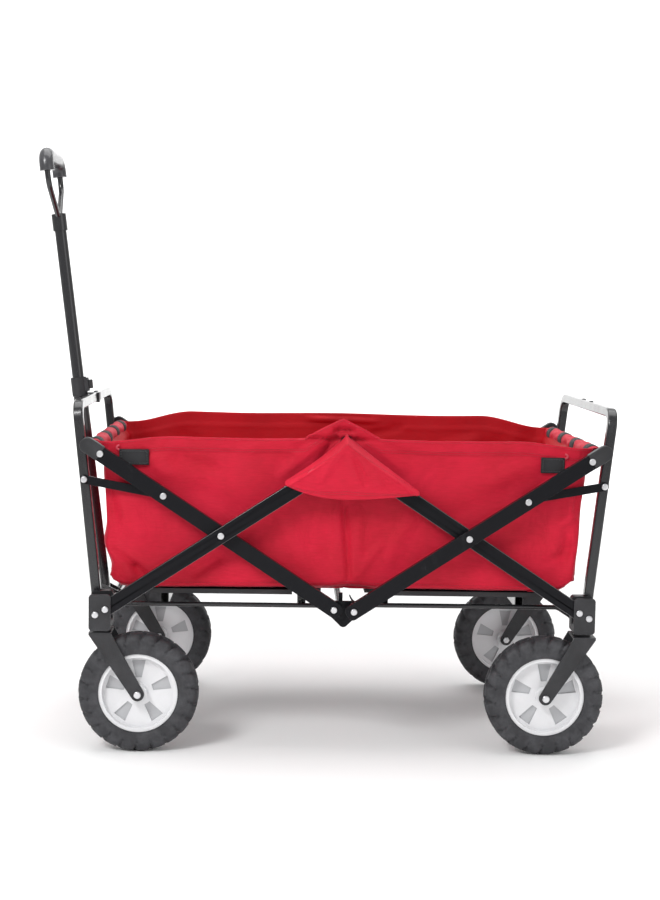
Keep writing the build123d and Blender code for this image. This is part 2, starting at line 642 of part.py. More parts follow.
def sub_parts():
    """Every node's name and shape."""
    shapes = {
        "lower_hub": lower_hub(),
        "lower_hub_rivets": lower_hub_rivets(),
        "top_hub_plates": top_hub(),
        "top_hub_rivets": top_hub_rivets(),
        "bag_walls": bag_walls(),
        "hub_flaps": hub_flaps(),
        "handle_clevis": handle_clevis(),
        "handle_clip": handle_clip(),
        "handle_outer_tube": handle_outer_tube(),
        "handle_collar": handle_collar(),
        "handle_button": handle_button(),
        "handle_inner_tube": handle_inner_tube(),
        "handle_yoke": handle_yoke(),
        "handle_grip": handle_grip(),
    }
    for end in ENDS:
        shapes[f"post_frame_{end}"] = post_frame(end)
        shapes[f"knuckles_{end}"] = knuckles(end)
        shapes[f"crossbar_{end}"] = crossbar(end)
        shapes[f"frame_rivets_{end}"] = frame_rivets(end)
        shapes[f"upper_arm_rivets_{end}"] = upper_arm_rivets(end)
        shapes[f"rim_bar_{end}"] = rim_bar(end)
        shapes[f"rim_sleeve_{end}"] = rim_sleeve(end)
        shapes[f"links_{end}"] = link(end)
        shapes[f"floor_rods_{end}"] = floor_rods(end)
        shapes[f"floor_board_{end}"] = floor_board(end)
        shapes[f"floor_mat_{end}"] = floor_mat(end)
        for side in SIDES:
            shapes[f"upper_arm_{end}_{side}"] = upper_arm(end, side)
            shapes[f"lower_arm_{end}_{side}"] = lower_arm(end, side)
            shapes[f"fork_{end}_{side}"] = fork(end, side)
            shapes[f"axle_{end}_{side}"] = axle(end, side)
            shapes[f"tyre_{end}_{side}"] = tyre(end, side)
            shapes[f"wheel_hub_{end}_{side}"] = wheel_hub(end, side)
    return shapes


def main():
    """Write each node with the origin on the ground under the middle of the whole wagon."""
    os.makedirs("parts", exist_ok=True)
    shapes = sub_parts()
    boxes = [shape.bounding_box() for shape in shapes.values()]
    middle = (min(box.min.X for box in boxes) + max(box.max.X for box in boxes)) / 2
    for name, shape in shapes.items():
        export_step(Pos(-middle, 0, 0) * shape, f"parts/{name}.step")
    print(f"{len(shapes)} nodes, shifted by {-middle:.4f} mm along X")
    return -middle


SHIFT_X = main()
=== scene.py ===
import json
from math import atan2, cos, hypot, pi, radians, sin

import bpy
import numpy as np
from mathutils import Matrix, Vector


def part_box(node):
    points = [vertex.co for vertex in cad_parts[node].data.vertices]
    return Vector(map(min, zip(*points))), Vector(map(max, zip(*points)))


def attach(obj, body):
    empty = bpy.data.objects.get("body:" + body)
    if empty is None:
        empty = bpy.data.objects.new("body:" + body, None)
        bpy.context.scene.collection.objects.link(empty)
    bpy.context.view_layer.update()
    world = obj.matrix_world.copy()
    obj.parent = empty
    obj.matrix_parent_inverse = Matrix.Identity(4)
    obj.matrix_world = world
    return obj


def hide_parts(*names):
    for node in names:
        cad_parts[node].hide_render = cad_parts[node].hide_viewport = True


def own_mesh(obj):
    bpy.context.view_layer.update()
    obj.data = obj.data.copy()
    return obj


# Looks for the folding camp wagon. Lengths are metres and places come from the frame's own boxes.
# X runs from the handle's end to the rear, Y from the near side to the far side, Z up.
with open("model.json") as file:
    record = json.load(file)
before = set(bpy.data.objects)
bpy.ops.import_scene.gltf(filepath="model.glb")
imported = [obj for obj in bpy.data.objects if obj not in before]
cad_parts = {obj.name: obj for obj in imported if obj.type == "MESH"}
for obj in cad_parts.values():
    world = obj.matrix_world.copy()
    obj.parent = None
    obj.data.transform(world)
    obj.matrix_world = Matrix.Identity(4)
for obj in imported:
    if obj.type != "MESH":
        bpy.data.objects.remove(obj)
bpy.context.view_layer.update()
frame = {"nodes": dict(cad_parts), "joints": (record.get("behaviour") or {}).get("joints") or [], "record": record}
NODES = frame["nodes"]
ENDS = (("front", -1), ("rear", 1))
SIDES = (("near", -1), ("far", 1))

# --- places taken from the frame ---
BAG_LOW, BAG_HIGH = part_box("bag_walls")
MID_X = (BAG_LOW.x + BAG_HIGH.x) / 2
TUB_HALF_X = (BAG_HIGH.x - BAG_LOW.x) / 2
TUB_HALF_Y = BAG_HIGH.y
TUB_FOOT_Z = BAG_LOW.z
WHEEL_LOW, WHEEL_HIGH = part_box("tyre_rear_far")
WHEEL_RADIUS = (WHEEL_HIGH.z - WHEEL_LOW.z) / 2
WHEEL_Y = (WHEEL_HIGH.y + WHEEL_LOW.y) / 2
RECESS_FLOOR = 0.0045

# --- colours, linear ---
RED = (0.650, 0.008, 0.038)
RED_DARK = (0.470, 0.003, 0.018)
RED_INNER = (0.480, 0.001, 0.009)
BLACK = (0.010, 0.010, 0.012)
WEB_BLACK = (0.009, 0.009, 0.010)
RUBBER = (0.030, 0.030, 0.034)
WHITE = (0.800, 0.800, 0.815)
# painted shade for the hub's sunk wedges
RECESS_PAINTED_SHADE = (0.480, 0.485, 0.500)
CHARCOAL = (0.032, 0.032, 0.036)
GRIP_GREY = (0.060, 0.060, 0.066)
STEEL = (0.640, 0.640, 0.660)


# ---- materials
class Shader:
    """A small helper that adds and links shader nodes in one material."""

    def __init__(self, name, roughness=0.5, metallic=0.0, sheen=0.0, coat=0.0, specular=0.5):
        self.material = bpy.data.materials.new(name)
        self.material.use_nodes = True
        self.tree = self.material.node_tree
        self.base = self.tree.nodes["Principled BSDF"]
        self.base.inputs["Roughness"].default_value = roughness
        self.base.inputs["Metallic"].default_value = metallic
        self.base.inputs["Sheen Weight"].default_value = sheen
        self.base.inputs["Sheen Roughness"].default_value = 0.4
        self.base.inputs["Coat Weight"].default_value = coat
        self.base.inputs["Coat Roughness"].default_value = 0.08
        self.base.inputs["Specular IOR Level"].default_value = specular
        self.where = self.add("ShaderNodeTexCoord").outputs["Object"]

    def add(self, kind, **settings):
        node = self.tree.nodes.new(kind)
        for key, value in settings.items():
            setattr(node, key, value)
        return node

    def link(self, source, target):
        self.tree.links.new(source, target)

    def noise(self, scale, detail=4.0, stretch=(1, 1, 1), roughness=0.55):
        """Noise in object space with its own stretch."""
        mapping = self.add("ShaderNodeMapping")
        mapping.inputs["Scale"].default_value = stretch
        self.link(self.where, mapping.inputs["Vector"])
        node = self.add("ShaderNodeTexNoise")
        node.inputs["Scale"].default_value = scale
        node.inputs["Detail"].default_value = detail
        node.inputs["Roughness"].default_value = roughness
        self.link(mapping.outputs["Vector"], node.inputs["Vector"])
        return node.outputs["Fac"]

    def waves(self, scale, direction, turn=(0, 0, 0)):
        """Even ribs across one direction in object space."""
        mapping = self.add("ShaderNodeMapping")
        mapping.inputs["Rotation"].default_value = turn
        self.link(self.where, mapping.inputs["Vector"])
        node = self.add("ShaderNodeTexWave", wave_type="BANDS", bands_direction=direction, wave_profile="SIN")
        node.inputs["Scale"].default_value = scale
        node.inputs["Distortion"].default_value = 0.0
        self.link(mapping.outputs["Vector"], node.inputs["Vector"])
        return node.outputs["Fac"]

    def math(self, operation, first, second):
        node = self.add("ShaderNodeMath", operation=operation)
        for socket, value in zip(node.inputs, (first, second)):
            if isinstance(value, (int, float)):
                socket.default_value = value
            else:
                self.link(value, socket)
        return node.outputs[0]

    def ramp(self, value, low, high, first, second):
        """A value between two limits turned into a mix of two colours."""
        node = self.add("ShaderNodeValToRGB")
        node.color_ramp.elements[0].position = low
        node.color_ramp.elements[1].position = high
        node.color_ramp.elements[0].color = (*first, 1)
        node.color_ramp.elements[1].color = (*second, 1)
        self.link(value, node.inputs["Fac"])
        return node.outputs["Color"]

    def mix(self, fac, first, second):
        node = self.add("ShaderNodeMix", data_type="RGBA")
        self.link(fac, node.inputs[0])
        for socket, value in ((node.inputs[6], first), (node.inputs[7], second)):
            if isinstance(value, tuple):
                socket.default_value = (*value, 1)
            else:
                self.link(value, socket)
        return node.outputs[2]

    def colour(self, output):
        self.link(output, self.base.inputs["Base Color"])

    def rough(self, value, low, high):
        node = self.add("ShaderNodeMapRange")
        node.inputs["To Min"].default_value = low
        node.inputs["To Max"].default_value = high
        self.link(value, node.inputs["Value"])
        self.link(node.outputs["Result"], self.base.inputs["Roughness"])

    def bump(self, height, distance, strength=1.0):
        node = self.add("ShaderNodeBump")
        node.inputs["Distance"].default_value = distance
        node.inputs["Strength"].default_value = strength
        self.link(height, node.inputs["Height"])
        if self.base.inputs["Normal"].links:
            self.link(self.base.inputs["Normal"].links[0].from_socket, node.inputs["Normal"])
        self.link(node.outputs["Normal"], self.base.inputs["Normal"])


def cloth_material(name, light, dark, sheen, rough):
    """Coated plain-weave polyester: fine crossed threads, soft mottling and faint rubbed patches."""
    s = Shader(name, roughness=rough, sheen=sheen, specular=0.24)
    s.base.inputs["Sheen Tint"].default_value = (1.0, 0.30, 0.38, 1)
    mottle = s.noise(9.0, 5.0)
    slub = s.noise(260.0, 2.0, stretch=(0.25, 1, 1.6))
    tone = s.math("ADD", s.math("MULTIPLY", mottle, 0.7), s.math("MULTIPLY", slub, 0.3))
    s.colour(s.ramp(tone, 0.32, 0.68, dark, light))
    s.rough(mottle, rough - 0.08, rough + 0.1)
    threads = s.math("MULTIPLY", s.waves(330.0, "X"), s.waves(330.0, "Z"))
    side_threads = s.math("MULTIPLY", s.waves(330.0, "Y"), s.waves(330.0, "Z"))
    s.bump(s.math("ADD", threads, side_threads), 0.0003, 0.5)
    s.bump(s.noise(38.0, 5.0), 0.0022, 0.30)
    s.bump(s.noise(11.0, 3.0), 0.006, 0.25)
    return s.material


def webbing_material(name):
    """Woven black tape with close ribs."""
    s = Shader(name, roughness=0.72, sheen=0.12, specular=0.3)
    ribs = s.math("ADD", s.waves(190.0, "Z"), s.waves(190.0, "Y"))
    s.colour(s.ramp(ribs, 0.4, 1.6, WEB_BLACK, (0.030, 0.030, 0.033)))
    s.bump(ribs, 0.0005, 0.7)
    s.bump(s.noise(600.0, 2.0), 0.0003, 0.5)
    return s.material


def gloss_black_material(name, specular, coat):
    """Glossy powder coat with orange peel and light scuffs."""
    s = Shader(name, roughness=0.24, coat=coat, specular=specular)
    scuff = s.noise(28.0, 8.0, stretch=(1, 1, 0.5), roughness=0.7)
    s.colour(s.ramp(scuff, 0.60, 0.80, BLACK, (0.022, 0.022, 0.025)))
    s.rough(scuff, 0.10, 0.36)
    s.bump(s.noise(420.0, 2.0), 0.0002, 0.25)
    return s.material


def moulded_material(name, light, dark, grain, depth, rough, coat=0.0):
    """Moulded plastic with a fine spark-eroded grain and paler rubbed spots."""
    s = Shader(name, roughness=rough, coat=coat)
    wear = s.noise(24.0, 6.0)
    s.colour(s.ramp(wear, 0.38, 0.72, dark, light))
    s.rough(wear, rough - 0.07, rough + 0.1)
    s.bump(s.noise(grain, 3.0), depth, 0.6)
    return s.material


def hub_material(name):
    """Satin white moulding whose sunk wedges carry a painted grey shade."""
    s = Shader(name, roughness=0.34)
    wear = s.noise(24.0, 6.0)
    face = s.ramp(wear, 0.35, 0.7, tuple(c * 0.93 for c in WHITE), WHITE)
    place = s.add("ShaderNodeSeparateXYZ")
    s.link(s.where, place.inputs["Vector"])
    depth = s.math("ABSOLUTE", s.math("SUBTRACT", s.math("ABSOLUTE", place.outputs["Y"], 0.0), WHEEL_Y), 0.0)
    # painted shade: the recess floors near the wheel's middle plane are coloured grey
    s.colour(s.mix(s.math("LESS_THAN", depth, RECESS_FLOOR), face, RECESS_PAINTED_SHADE))
    s.rough(wear, 0.28, 0.44)
    s.bump(s.noise(300.0, 3.0), 0.0001, 0.6)
    return s.material


def steel_material(name):
    """Zinc plate with fine scratches and a dull bloom."""
    s = Shader(name, roughness=0.3, metallic=1.0)
    bloom = s.noise(70.0, 5.0)
    s.colour(s.ramp(bloom, 0.35, 0.7, STEEL, (0.80, 0.80, 0.81)))
    s.rough(bloom, 0.2, 0.45)
    s.bump(s.noise(700.0, 3.0, stretch=(1, 1, 0.15)), 0.0002, 0.4)
    return s.material


def tyre_material(name):
    """Matte rubber with dusty high spots."""
    s = Shader(name, roughness=0.62, specular=0.45)
    dust = s.noise(40.0, 7.0, roughness=0.65)
    s.colour(s.ramp(dust, 0.42, 0.75, RUBBER, (0.075, 0.075, 0.082)))
    s.rough(dust, 0.5, 0.75)
    s.bump(s.noise(900.0, 3.0), 0.0003, 0.5)
    return s.material


def thread_material(name, colour):
    """Twisted sewing thread."""
    s = Shader(name, roughness=0.5, sheen=0.2)
    twist = s.noise(1500.0, 1.0)
    s.colour(s.ramp(twist, 0.3, 0.7, tuple(c * 0.6 for c in colour), colour))
    return s.material


CLOTH = cloth_material("red_cloth", RED, RED_DARK, 0.22, 0.58)
LINING = cloth_material("red_lining", RED_INNER, tuple(c * 0.8 for c in RED_INNER), 0.0, 0.62)
WEBBING = webbing_material("black_webbing_tape")
GLOSS = gloss_black_material("black_gloss_coat", 0.55, 0.35)
ARM_GLOSS = gloss_black_material("black_arm_coat", 0.10, 0.0)
ARM_EDGE = gloss_black_material("black_arm_edge", 1.0, 1.0)
TEXTURED = moulded_material("black_moulded", CHARCOAL, (0.014, 0.014, 0.016), 520.0, 0.0004, 0.46)
BOARD = moulded_material("board_skin", (0.026, 0.026, 0.029), (0.012, 0.012, 0.014), 300.0, 0.0004, 0.6)
HUB = hub_material("hub_white")
GRIP = moulded_material("grip_grey", GRIP_GREY, (0.036, 0.036, 0.040), 380.0, 0.0003, 0.30, coat=0.35)
ZINC = steel_material("zinc_plate")
RUBBER_BLACK = tyre_material("tyre_rubber_black")
RED_THREAD = thread_material("red_thread", (0.72, 0.06, 0.10))
DARK_THREAD = thread_material("dark_thread", (0.30, 0.006, 0.02))
GREY_THREAD = thread_material("grey_thread", (0.10, 0.10, 0.11))


# ---- mesh helpers
def make_object(name, points, faces, *materials, which=None, smooth=True):
    """A mesh object from points and faces, with which giving each face's material."""
    mesh = bpy.data.meshes.new(name)
    mesh.from_pydata([tuple(p) for p in points], [], [tuple(f) for f in faces])
    for material in materials:
        mesh.materials.append(material)
    if which is not None:
        mesh.polygons.foreach_set("material_index", np.asarray(which, np.int32))
    mesh.polygons.foreach_set("use_smooth", np.full(len(mesh.polygons), smooth))
    mesh.validate()
    mesh.update()
    obj = bpy.data.objects.new(name, mesh)
    bpy.context.scene.collection.objects.link(obj)
    return obj


def apply_modifiers(obj):
    """Turn an object's modifiers into its own mesh."""
    bpy.context.view_layer.update()
    evaluated = obj.evaluated_get(bpy.context.evaluated_depsgraph_get())
    mesh = bpy.data.meshes.new_from_object(evaluated)
    obj.modifiers.clear()
    obj.data = mesh
    return obj


def soften(obj, angle):
    """Round an object's sharp edges for good."""
    modifier = obj.modifiers.new("soft", "BEVEL")
    modifier.width = 0.0006
    modifier.segments = 2
    modifier.angle_limit = radians(angle)
    return apply_modifiers(obj)


def grid_faces(rows, columns, closed, offset=0):
    """Quads over a grid of rows and columns, closed round the columns if asked."""
    faces = []
    for i in range(rows - 1):
        for j in range(columns if closed else columns - 1):
            k = (j + 1) % columns
            faces.append((offset + i * columns + j, offset + i * columns + k,
                          offset + (i + 1) * columns + k, offset + (i + 1) * columns + j))
    return faces


def grid_normals(grid, closed):
    """Unit normals of a grid of points, by its own rows and columns."""
    along = np.gradient(grid, axis=1)
    if closed:
        along = (np.roll(grid, -1, 1) - np.roll(grid, 1, 1)) / 2
    normal = np.cross(along, np.gradient(grid, axis=0))
    return normal / np.maximum(np.linalg.norm(normal, axis=2, keepdims=True), 1e-12)


def cloth_shell(name, grid, thickness, closed=False):
    """A sheet of cloth with two faces from a grid of points on its outer face."""
    rows, columns = grid.shape[:2]
    inner = grid - grid_normals(grid, closed) * thickness
    points = np.concatenate([grid.reshape(-1, 3), inner.reshape(-1, 3)])
    outside = grid_faces(rows, columns, closed)
    count = rows * columns
    inside = [tuple(reversed(f)) for f in grid_faces(rows, columns, closed, count)]
    rim = []
    for j in range(columns if closed else columns - 1):
        k = (j + 1) % columns
        rim.append((j, j + count, k + count, k))
        top = (rows - 1) * columns
        rim.append((top + k, top + k + count, top + j + count, top + j))
    if not closed:
        for i in range(rows - 1):
            a, b = i * columns, (i + 1) * columns
            rim.append((a, b, b + count, a + count))
            a, b = a + columns - 1, b + columns - 1
            rim.append((a, a + count, b + count, b))
    which = [0] * len(outside) + [1] * len(inside) + [0] * len(rim)
    return make_object(name, points, outside + inside + rim, CLOTH, LINING, which=which)


def sweep_tube(name, path, radius, material, sides):
    """A round tube with closed ends along a path of points."""
    path = np.asarray(path, float)
    tangent = np.gradient(path, axis=0)
    tangent /= np.linalg.norm(tangent, axis=1, keepdims=True)
    up = np.array([0.0, 0.0, 1.0])
    if abs(tangent[0] @ up) > 0.9:
        up = np.array([1.0, 0.0, 0.0])
    rings = []
    for p, t in zip(path, tangent):
        side = np.cross(t, up)
        side /= np.linalg.norm(side)
        up = np.cross(side, t)
        angles = np.linspace(0, 2 * pi, sides, endpoint=False)[:, None]
        rings.append(p + radius * (np.cos(angles) * side + np.sin(angles) * up))
    grid = np.array(rings)
    faces = grid_faces(len(path), sides, True)
    faces.append(tuple(reversed(range(sides))))
    faces.append(tuple(range((len(path) - 1) * sides, len(path) * sides)))
    return make_object(name, grid.reshape(-1, 3), faces, material)


STITCH_PITCH, STITCH_LENGTH, THREAD_RADIUS = 0.0042, 0.0028, 0.00034


def stitches(name, lines, normals, material):
    """Rows of raised stitches: short rounded threads lying along lines of points."""
    points, faces = [], []
    for line, face_normals in zip(lines, normals):
        line, face_normals = np.asarray(line, float), np.asarray(face_normals, float)
        steps = np.linalg.norm(np.diff(line, axis=0), axis=1)
        reach = np.concatenate([[0], np.cumsum(steps)])
        for middle in np.arange(STITCH_PITCH / 2, reach[-1], STITCH_PITCH):
            ends = [np.array([np.interp(middle + d, reach, line[:, k]) for k in range(3)])
                    for d in (-STITCH_LENGTH / 2, 0, STITCH_LENGTH / 2)]
            up = np.array([np.interp(middle, reach, face_normals[:, k]) for k in range(3)])
            up /= np.linalg.norm(up)
            run = ends[2] - ends[0]
            across = np.cross(run, up)
            across /= np.linalg.norm(across)
            start = len(points)
            for end, width in zip(ends, (0.45, 1.0, 0.45)):
                lift = THREAD_RADIUS * (0.2 if width < 1 else 0.9)
                for a, b in ((-1, -0.6), (-0.6, 0.8), (0.6, 0.8), (1, -0.6)):
                    points.append(end + (across * a + up * b) * THREAD_RADIUS * width + up * lift)
            for ring in range(2):
                for k in range(4):
                    m = (k + 1) % 4
                    a = start + ring * 4
                    faces.append((a + k, a + m, a + 4 + m, a + 4 + k))
            faces.append((start + 3, start + 2, start + 1, start))
            faces.append((start + 8, start + 9, start + 10, start + 11))
    return make_object(name, points, faces, material)


def smooth_step(x):
    x = np.clip(x, 0, 1)
    return x * x * (3 - 2 * x)


# ---- the tub's walls
CORNER = 0.016
SIDE_STEPS = 190
END_STEPS = 96
CORNER_STEPS = 7
WALL_ROWS = 64
CLOTH_THICK = 0.0014
HEM_TOP = 0.024
HEM_FOOT = 0.013
END_TOP_Z = 0.518
SIDE_TOP_Z = 0.529
PEAK_RISE = 0.033
PEAK_X = -0.006
PEAK_HALF = 0.062
FOLD_DEPTH = 2.3
TURN_UNDER = 0.018


def rounded_loop(half_x, half_y):
    """A rounded rectangle's points with outward directions, the same count for any size."""
    spots = []
    corners = ((1, -1, -90), (1, 1, 0), (-1, 1, 90), (-1, -1, 180))
    for index, (sx, sy, angle) in enumerate(corners):
        for step in range(CORNER_STEPS):
            a = radians(angle + 90 * step / CORNER_STEPS)
            centre = (sx * (half_x - CORNER), sy * (half_y - CORNER))
            spots.append((centre[0] + CORNER * cos(a), centre[1] + CORNER * sin(a), cos(a), sin(a)))
        a = radians(angle + 90)
        start = (sx * (half_x - CORNER) + CORNER * cos(a), sy * (half_y - CORNER) + CORNER * sin(a))
        nx, ny, _ = corners[(index + 1) % 4]
        end = (nx * (half_x - CORNER) + CORNER * cos(a), ny * (half_y - CORNER) + CORNER * sin(a))
        count = END_STEPS if index % 2 == 0 else SIDE_STEPS
        for step in range(count):
            f = step / count
            spots.append((start[0] + f * (end[0] - start[0]), start[1] + f * (end[1] - start[1]),
                          cos(a), sin(a)))
    return np.array(spots)


def crease(x, z, start, end, width, depth):
    """A soft fold along a line that fades at both ends; a positive depth stands out."""
    (x0, z0), (x1, z1) = start, end
    run = hypot(x1 - x0, z1 - z0)
    along = ((x - x0) * (x1 - x0) + (z - z0) * (z1 - z0)) / run**2
    off = ((x - x0) * (z1 - z0) - (z - z0) * (x1 - x0)) / run
    fade = smooth_step(along / 0.25) * smooth_step((1 - along) / 0.25)
    return FOLD_DEPTH * depth * np.exp(-((off / width) ** 2)) * fade


# folds in a long wall, in X from the middle and Z: two ends, width and height of the fold
NEAR_FOLDS = (
    ((-0.390, 0.345), (-0.335, 0.300), 0.006, -0.0034),
    ((-0.376, 0.322), (-0.350, 0.282), 0.005, 0.0032),
    ((-0.354, 0.318), (-0.325, 0.288), 0.005, -0.0026),
    ((-0.262, 0.288), (-0.196, 0.334), 0.008, -0.0028),
    ((-0.300, 0.500), (-0.200, 0.470), 0.010, -0.0020),
    ((-0.004, 0.445), (0.010, 0.274), 0.004, -0.0030),
    ((-0.016, 0.440), (-0.006, 0.276), 0.009, 0.0022),
    ((0.022, 0.430), (0.020, 0.276), 0.010, 0.0022),
    ((-0.060, 0.350), (0.004, 0.286), 0.007, 0.0020),
    ((0.070, 0.360), (0.012, 0.292), 0.008, 0.0018),
    ((-0.010, 0.552), (-0.120, 0.455), 0.009, 0.0026),
    ((-0.004, 0.556), (-0.070, 0.440), 0.006, -0.0026),
    ((-0.020, 0.540), (-0.190, 0.500), 0.008, 0.0018),
    ((0.006, 0.552), (0.110, 0.470), 0.008, 0.0024),
    ((0.014, 0.542), (0.190, 0.506), 0.008, 0.0018),
    ((0.396, 0.470), (0.366, 0.300), 0.009, -0.0030),
    ((0.372, 0.460), (0.388, 0.330), 0.008, 0.0024),
    ((0.398, 0.410), (0.340, 0.380), 0.007, 0.0018),
    ((0.400, 0.360), (0.330, 0.318), 0.008, -0.0020),
    ((0.352, 0.440), (0.344, 0.300), 0.012, 0.0018),
    ((-0.398, 0.470), (-0.372, 0.330), 0.010, -0.0026),
    ((-0.380, 0.430), (-0.330, 0.350), 0.010, 0.0022),
    ((-0.396, 0.340), (-0.300, 0.296), 0.011, 0.0022),
    ((-0.340, 0.500), (-0.240, 0.440), 0.014, 0.0016),
    ((0.330, 0.500), (0.230, 0.450), 0.014, 0.0016),
    ((-0.250, 0.300), (-0.120, 0.320), 0.016, 0.0014),
    ((0.240, 0.298), (0.120, 0.316), 0.016, 0.0014),
    ((-0.095, 0.5285), (0.075, 0.5265), 0.0035, -0.0046),
    ((-0.085, 0.5340), (0.060, 0.5325), 0.0030, 0.0020),
    ((-0.026, 0.5430), (0.020, 0.5425), 0.0030, -0.0046),
    ((-0.140, 0.5200), (-0.060, 0.4950), 0.0060, 0.0020),
    ((-0.300, 0.4700), (-0.150, 0.3900), 0.0180, -0.0016),
    ((0.300, 0.4600), (0.140, 0.3800), 0.0200, -0.0016),
    ((0.120, 0.4200), (0.060, 0.3000), 0.0140, 0.0016),
    ((-0.120, 0.4200), (-0.050, 0.3000), 0.0140, 0.0016),
)
FAR_FOLDS = tuple(
    ((-a[0] * 0.97, a[1] - 0.004), (-b[0] * 0.94, b[1] + 0.003), w * 1.1, d * 0.9)
    for a, b, w, d in NEAR_FOLDS if a[1] < 0.54
)
END_FOLDS = (
    ((-0.200, 0.490), (-0.120, 0.300), 0.012, 0.0022),
    ((0.205, 0.480), (0.110, 0.310), 0.012, 0.0024),
    ((-0.060, 0.495), (-0.075, 0.420), 0.009, 0.0020),
    ((0.050, 0.495), (0.072, 0.400), 0.010, 0.0020),
    ((-0.140, 0.495), (-0.160, 0.380), 0.010, -0.0020),
    ((0.140, 0.495), (0.165, 0.390), 0.009, -0.0022),
    ((-0.210, 0.340), (0.000, 0.290), 0.016, 0.0020),
    ((0.210, 0.330), (0.030, 0.286), 0.016, 0.0018),
)


def foot_line(x, near):
    """The tub's lower edge: low where the board holds it and lifted at the corners and the middle."""
    corner = np.clip((np.abs(x) - 0.350) / 0.045, 0, 1)
    lift = np.where(x > 0, 0.026, 0.010) * corner**2
    middle = 0.003 * np.exp(-(((x - 0.012) / 0.03) ** 2)) + 0.002 * np.exp(-(((x + 0.02) / 0.16) ** 2))
    return TUB_FOOT_Z - 0.0005 + lift + middle * (1.0 if near else 0.6)


def top_line(x, near):
    """The upper edge of a long wall, with the near wall's tented peak."""
    rise = smooth_step((TUB_HALF_X - 0.004 - np.abs(x)) / 0.120)
    edge = END_TOP_Z + (SIDE_TOP_Z - END_TOP_Z + (0.0 if near else 0.011)) * rise
    edge -= 0.0022 * np.sin(pi * np.clip(np.abs(x) / 0.36, 0, 1)) ** 2
    if near:
        edge += PEAK_RISE * np.clip(1 - np.abs(x - PEAK_X) / PEAK_HALF, 0, 1) ** 0.85
    return edge


def wall_grid():
    """Points of the walls' outer face, rows from the lower edge up."""
    low = rounded_loop(TUB_HALF_X - 0.013, TUB_HALF_Y - 0.002)
    high = rounded_loop(TUB_HALF_X, TUB_HALF_Y)
    is_near, is_far = low[:, 3] < -0.7, low[:, 3] > 0.7
    is_end = ~(is_near | is_far)
    rng = np.random.default_rng(7)
    phases = rng.uniform(0, 2 * pi, 12)
    rows = []
    for t in np.linspace(0, 1, WALL_ROWS):
        x = low[:, 0] + t * (high[:, 0] - low[:, 0])
        y = low[:, 1] + t * (high[:, 1] - low[:, 1])
        out_x, out_y = high[:, 2], high[:, 3]
        foot = np.where(is_far, foot_line(x, False), foot_line(x, True))
        foot = np.where(is_end, TUB_FOOT_Z + 0.012, foot)
        top = np.where(is_near, top_line(x, True), top_line(x, False))
        top = np.where(is_end, END_TOP_Z, top)
        z = foot + t * (top - foot)
        push = np.zeros_like(x)
        across = y * np.sign(x)
        walls = ((NEAR_FOLDS, is_near, x), (FAR_FOLDS, is_far, x), (END_FOLDS, is_end, across))
        for folds, wall, place in walls:
            for fold in folds:
                push += np.where(wall, crease(place, z, *fold), 0)
        # slow waves, stronger near the corners
        reach = np.abs(np.where(is_end, y, x))
        span = np.where(is_end, TUB_HALF_Y, TUB_HALF_X)
        corner = smooth_step((reach / span - 0.55) / 0.45)
        s = np.where(is_end, across, x)
        waves = 0.0009 * np.sin(21 * s + 17 * z + phases[0]) + 0.0008 * np.sin(47 * s - 33 * z + phases[1])
        crinkle = 0.0012 * np.sin(75 * s + 40 * z + phases[2]) + 0.0008 * np.sin(120 * s - 66 * z + phases[3])
        waves += corner * crinkle
        push += waves
        height = (z - foot) / (top - foot)
        belly = np.sin(pi * np.clip(height, 0, 1)) ** 0.8
        push -= np.where(is_end, 0.004, 0.0012) * belly * (1 - corner)
        # the folded hems stand proud, and a stitched groove runs under each
        above, below = top - z, z - foot
        hem = smooth_step((HEM_TOP - above) / 0.002)
        push += 0.0009 * hem - 0.0009 * np.exp(-(((above - HEM_TOP - 0.001) / 0.0035) ** 2))
        push -= 0.0012 * np.exp(-(((below - HEM_FOOT) / 0.003) ** 2))
        push = np.clip(push, -0.009, 0.0026)
        # the lower edge turns under the padded floor
        push -= TURN_UNDER * (1 - smooth_step(below / 0.008))
        x = x + out_x * push
        y = y + out_y * push
        # the front wall bags out above a tuck near its foot
        slack = smooth_step((-x - 0.340) / 0.050)
        bulge, tuck = np.exp(-(((z - 0.350) / 0.022) ** 2)), np.exp(-(((z - 0.310) / 0.016) ** 2))
        x = x - slack * (0.0065 * bulge - 0.0050 * tuck)
        # the end walls flare out under the rolled hems
        flare = np.where(is_end, 0.010 * smooth_step((z - 0.488) / 0.03), 0)
        x = x + np.sign(out_x) * flare
        rows.append(np.stack([MID_X + x, y, z], axis=1))
    return np.array(rows)


WALLS = wall_grid()
bag = cloth_shell("tub_walls", WALLS, CLOTH_THICK, closed=True)
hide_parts("bag_walls")
WALL_NORMALS = grid_normals(WALLS, True)


def wall_rows_at(distance, from_top):
    """A closed line of points a set distance from the walls' upper or lower edge, with normals."""
    heights = WALLS[:, :, 2]
    edge = heights[-1] if from_top else heights[0]
    wanted = edge - distance if from_top else edge + distance
    line, normal = [], []
    for j in range(WALLS.shape[1]):
        column, normals = WALLS[:, j], WALL_NORMALS[:, j]
        f = np.interp(wanted[j], heights[:, j], np.arange(len(column)))
        i = min(int(f), len(column) - 2)
        line.append(column[i] + (f - i) * (column[i + 1] - column[i]))
        normal.append(normals[i])
    line.append(line[0])
    normal.append(normal[0])
    return np.array(line), np.array(normal)


rows = [wall_rows_at(d, top) for d, top in ((0.0225, True), (0.0185, True), (0.0032, True), (0.011, False))]
seams = stitches("tub_stitches", [r[0] for r in rows], [r[1] for r in rows], DARK_THREAD)


def ride_tub(obj):
    """Ride on the top hub with a mesh of its own."""
    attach(obj, "top_hub")
    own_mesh(obj)
    return obj


# cloth that closes the floor between each end wall's turned-in foot and the padded floor
FLANGE_IN = 0.3100
FLANGE_OUT = 0.371
FLANGE_HALF = TUB_HALF_Y - 0.009
FLANGE_ROWS, FLANGE_COLUMNS = 60, 22


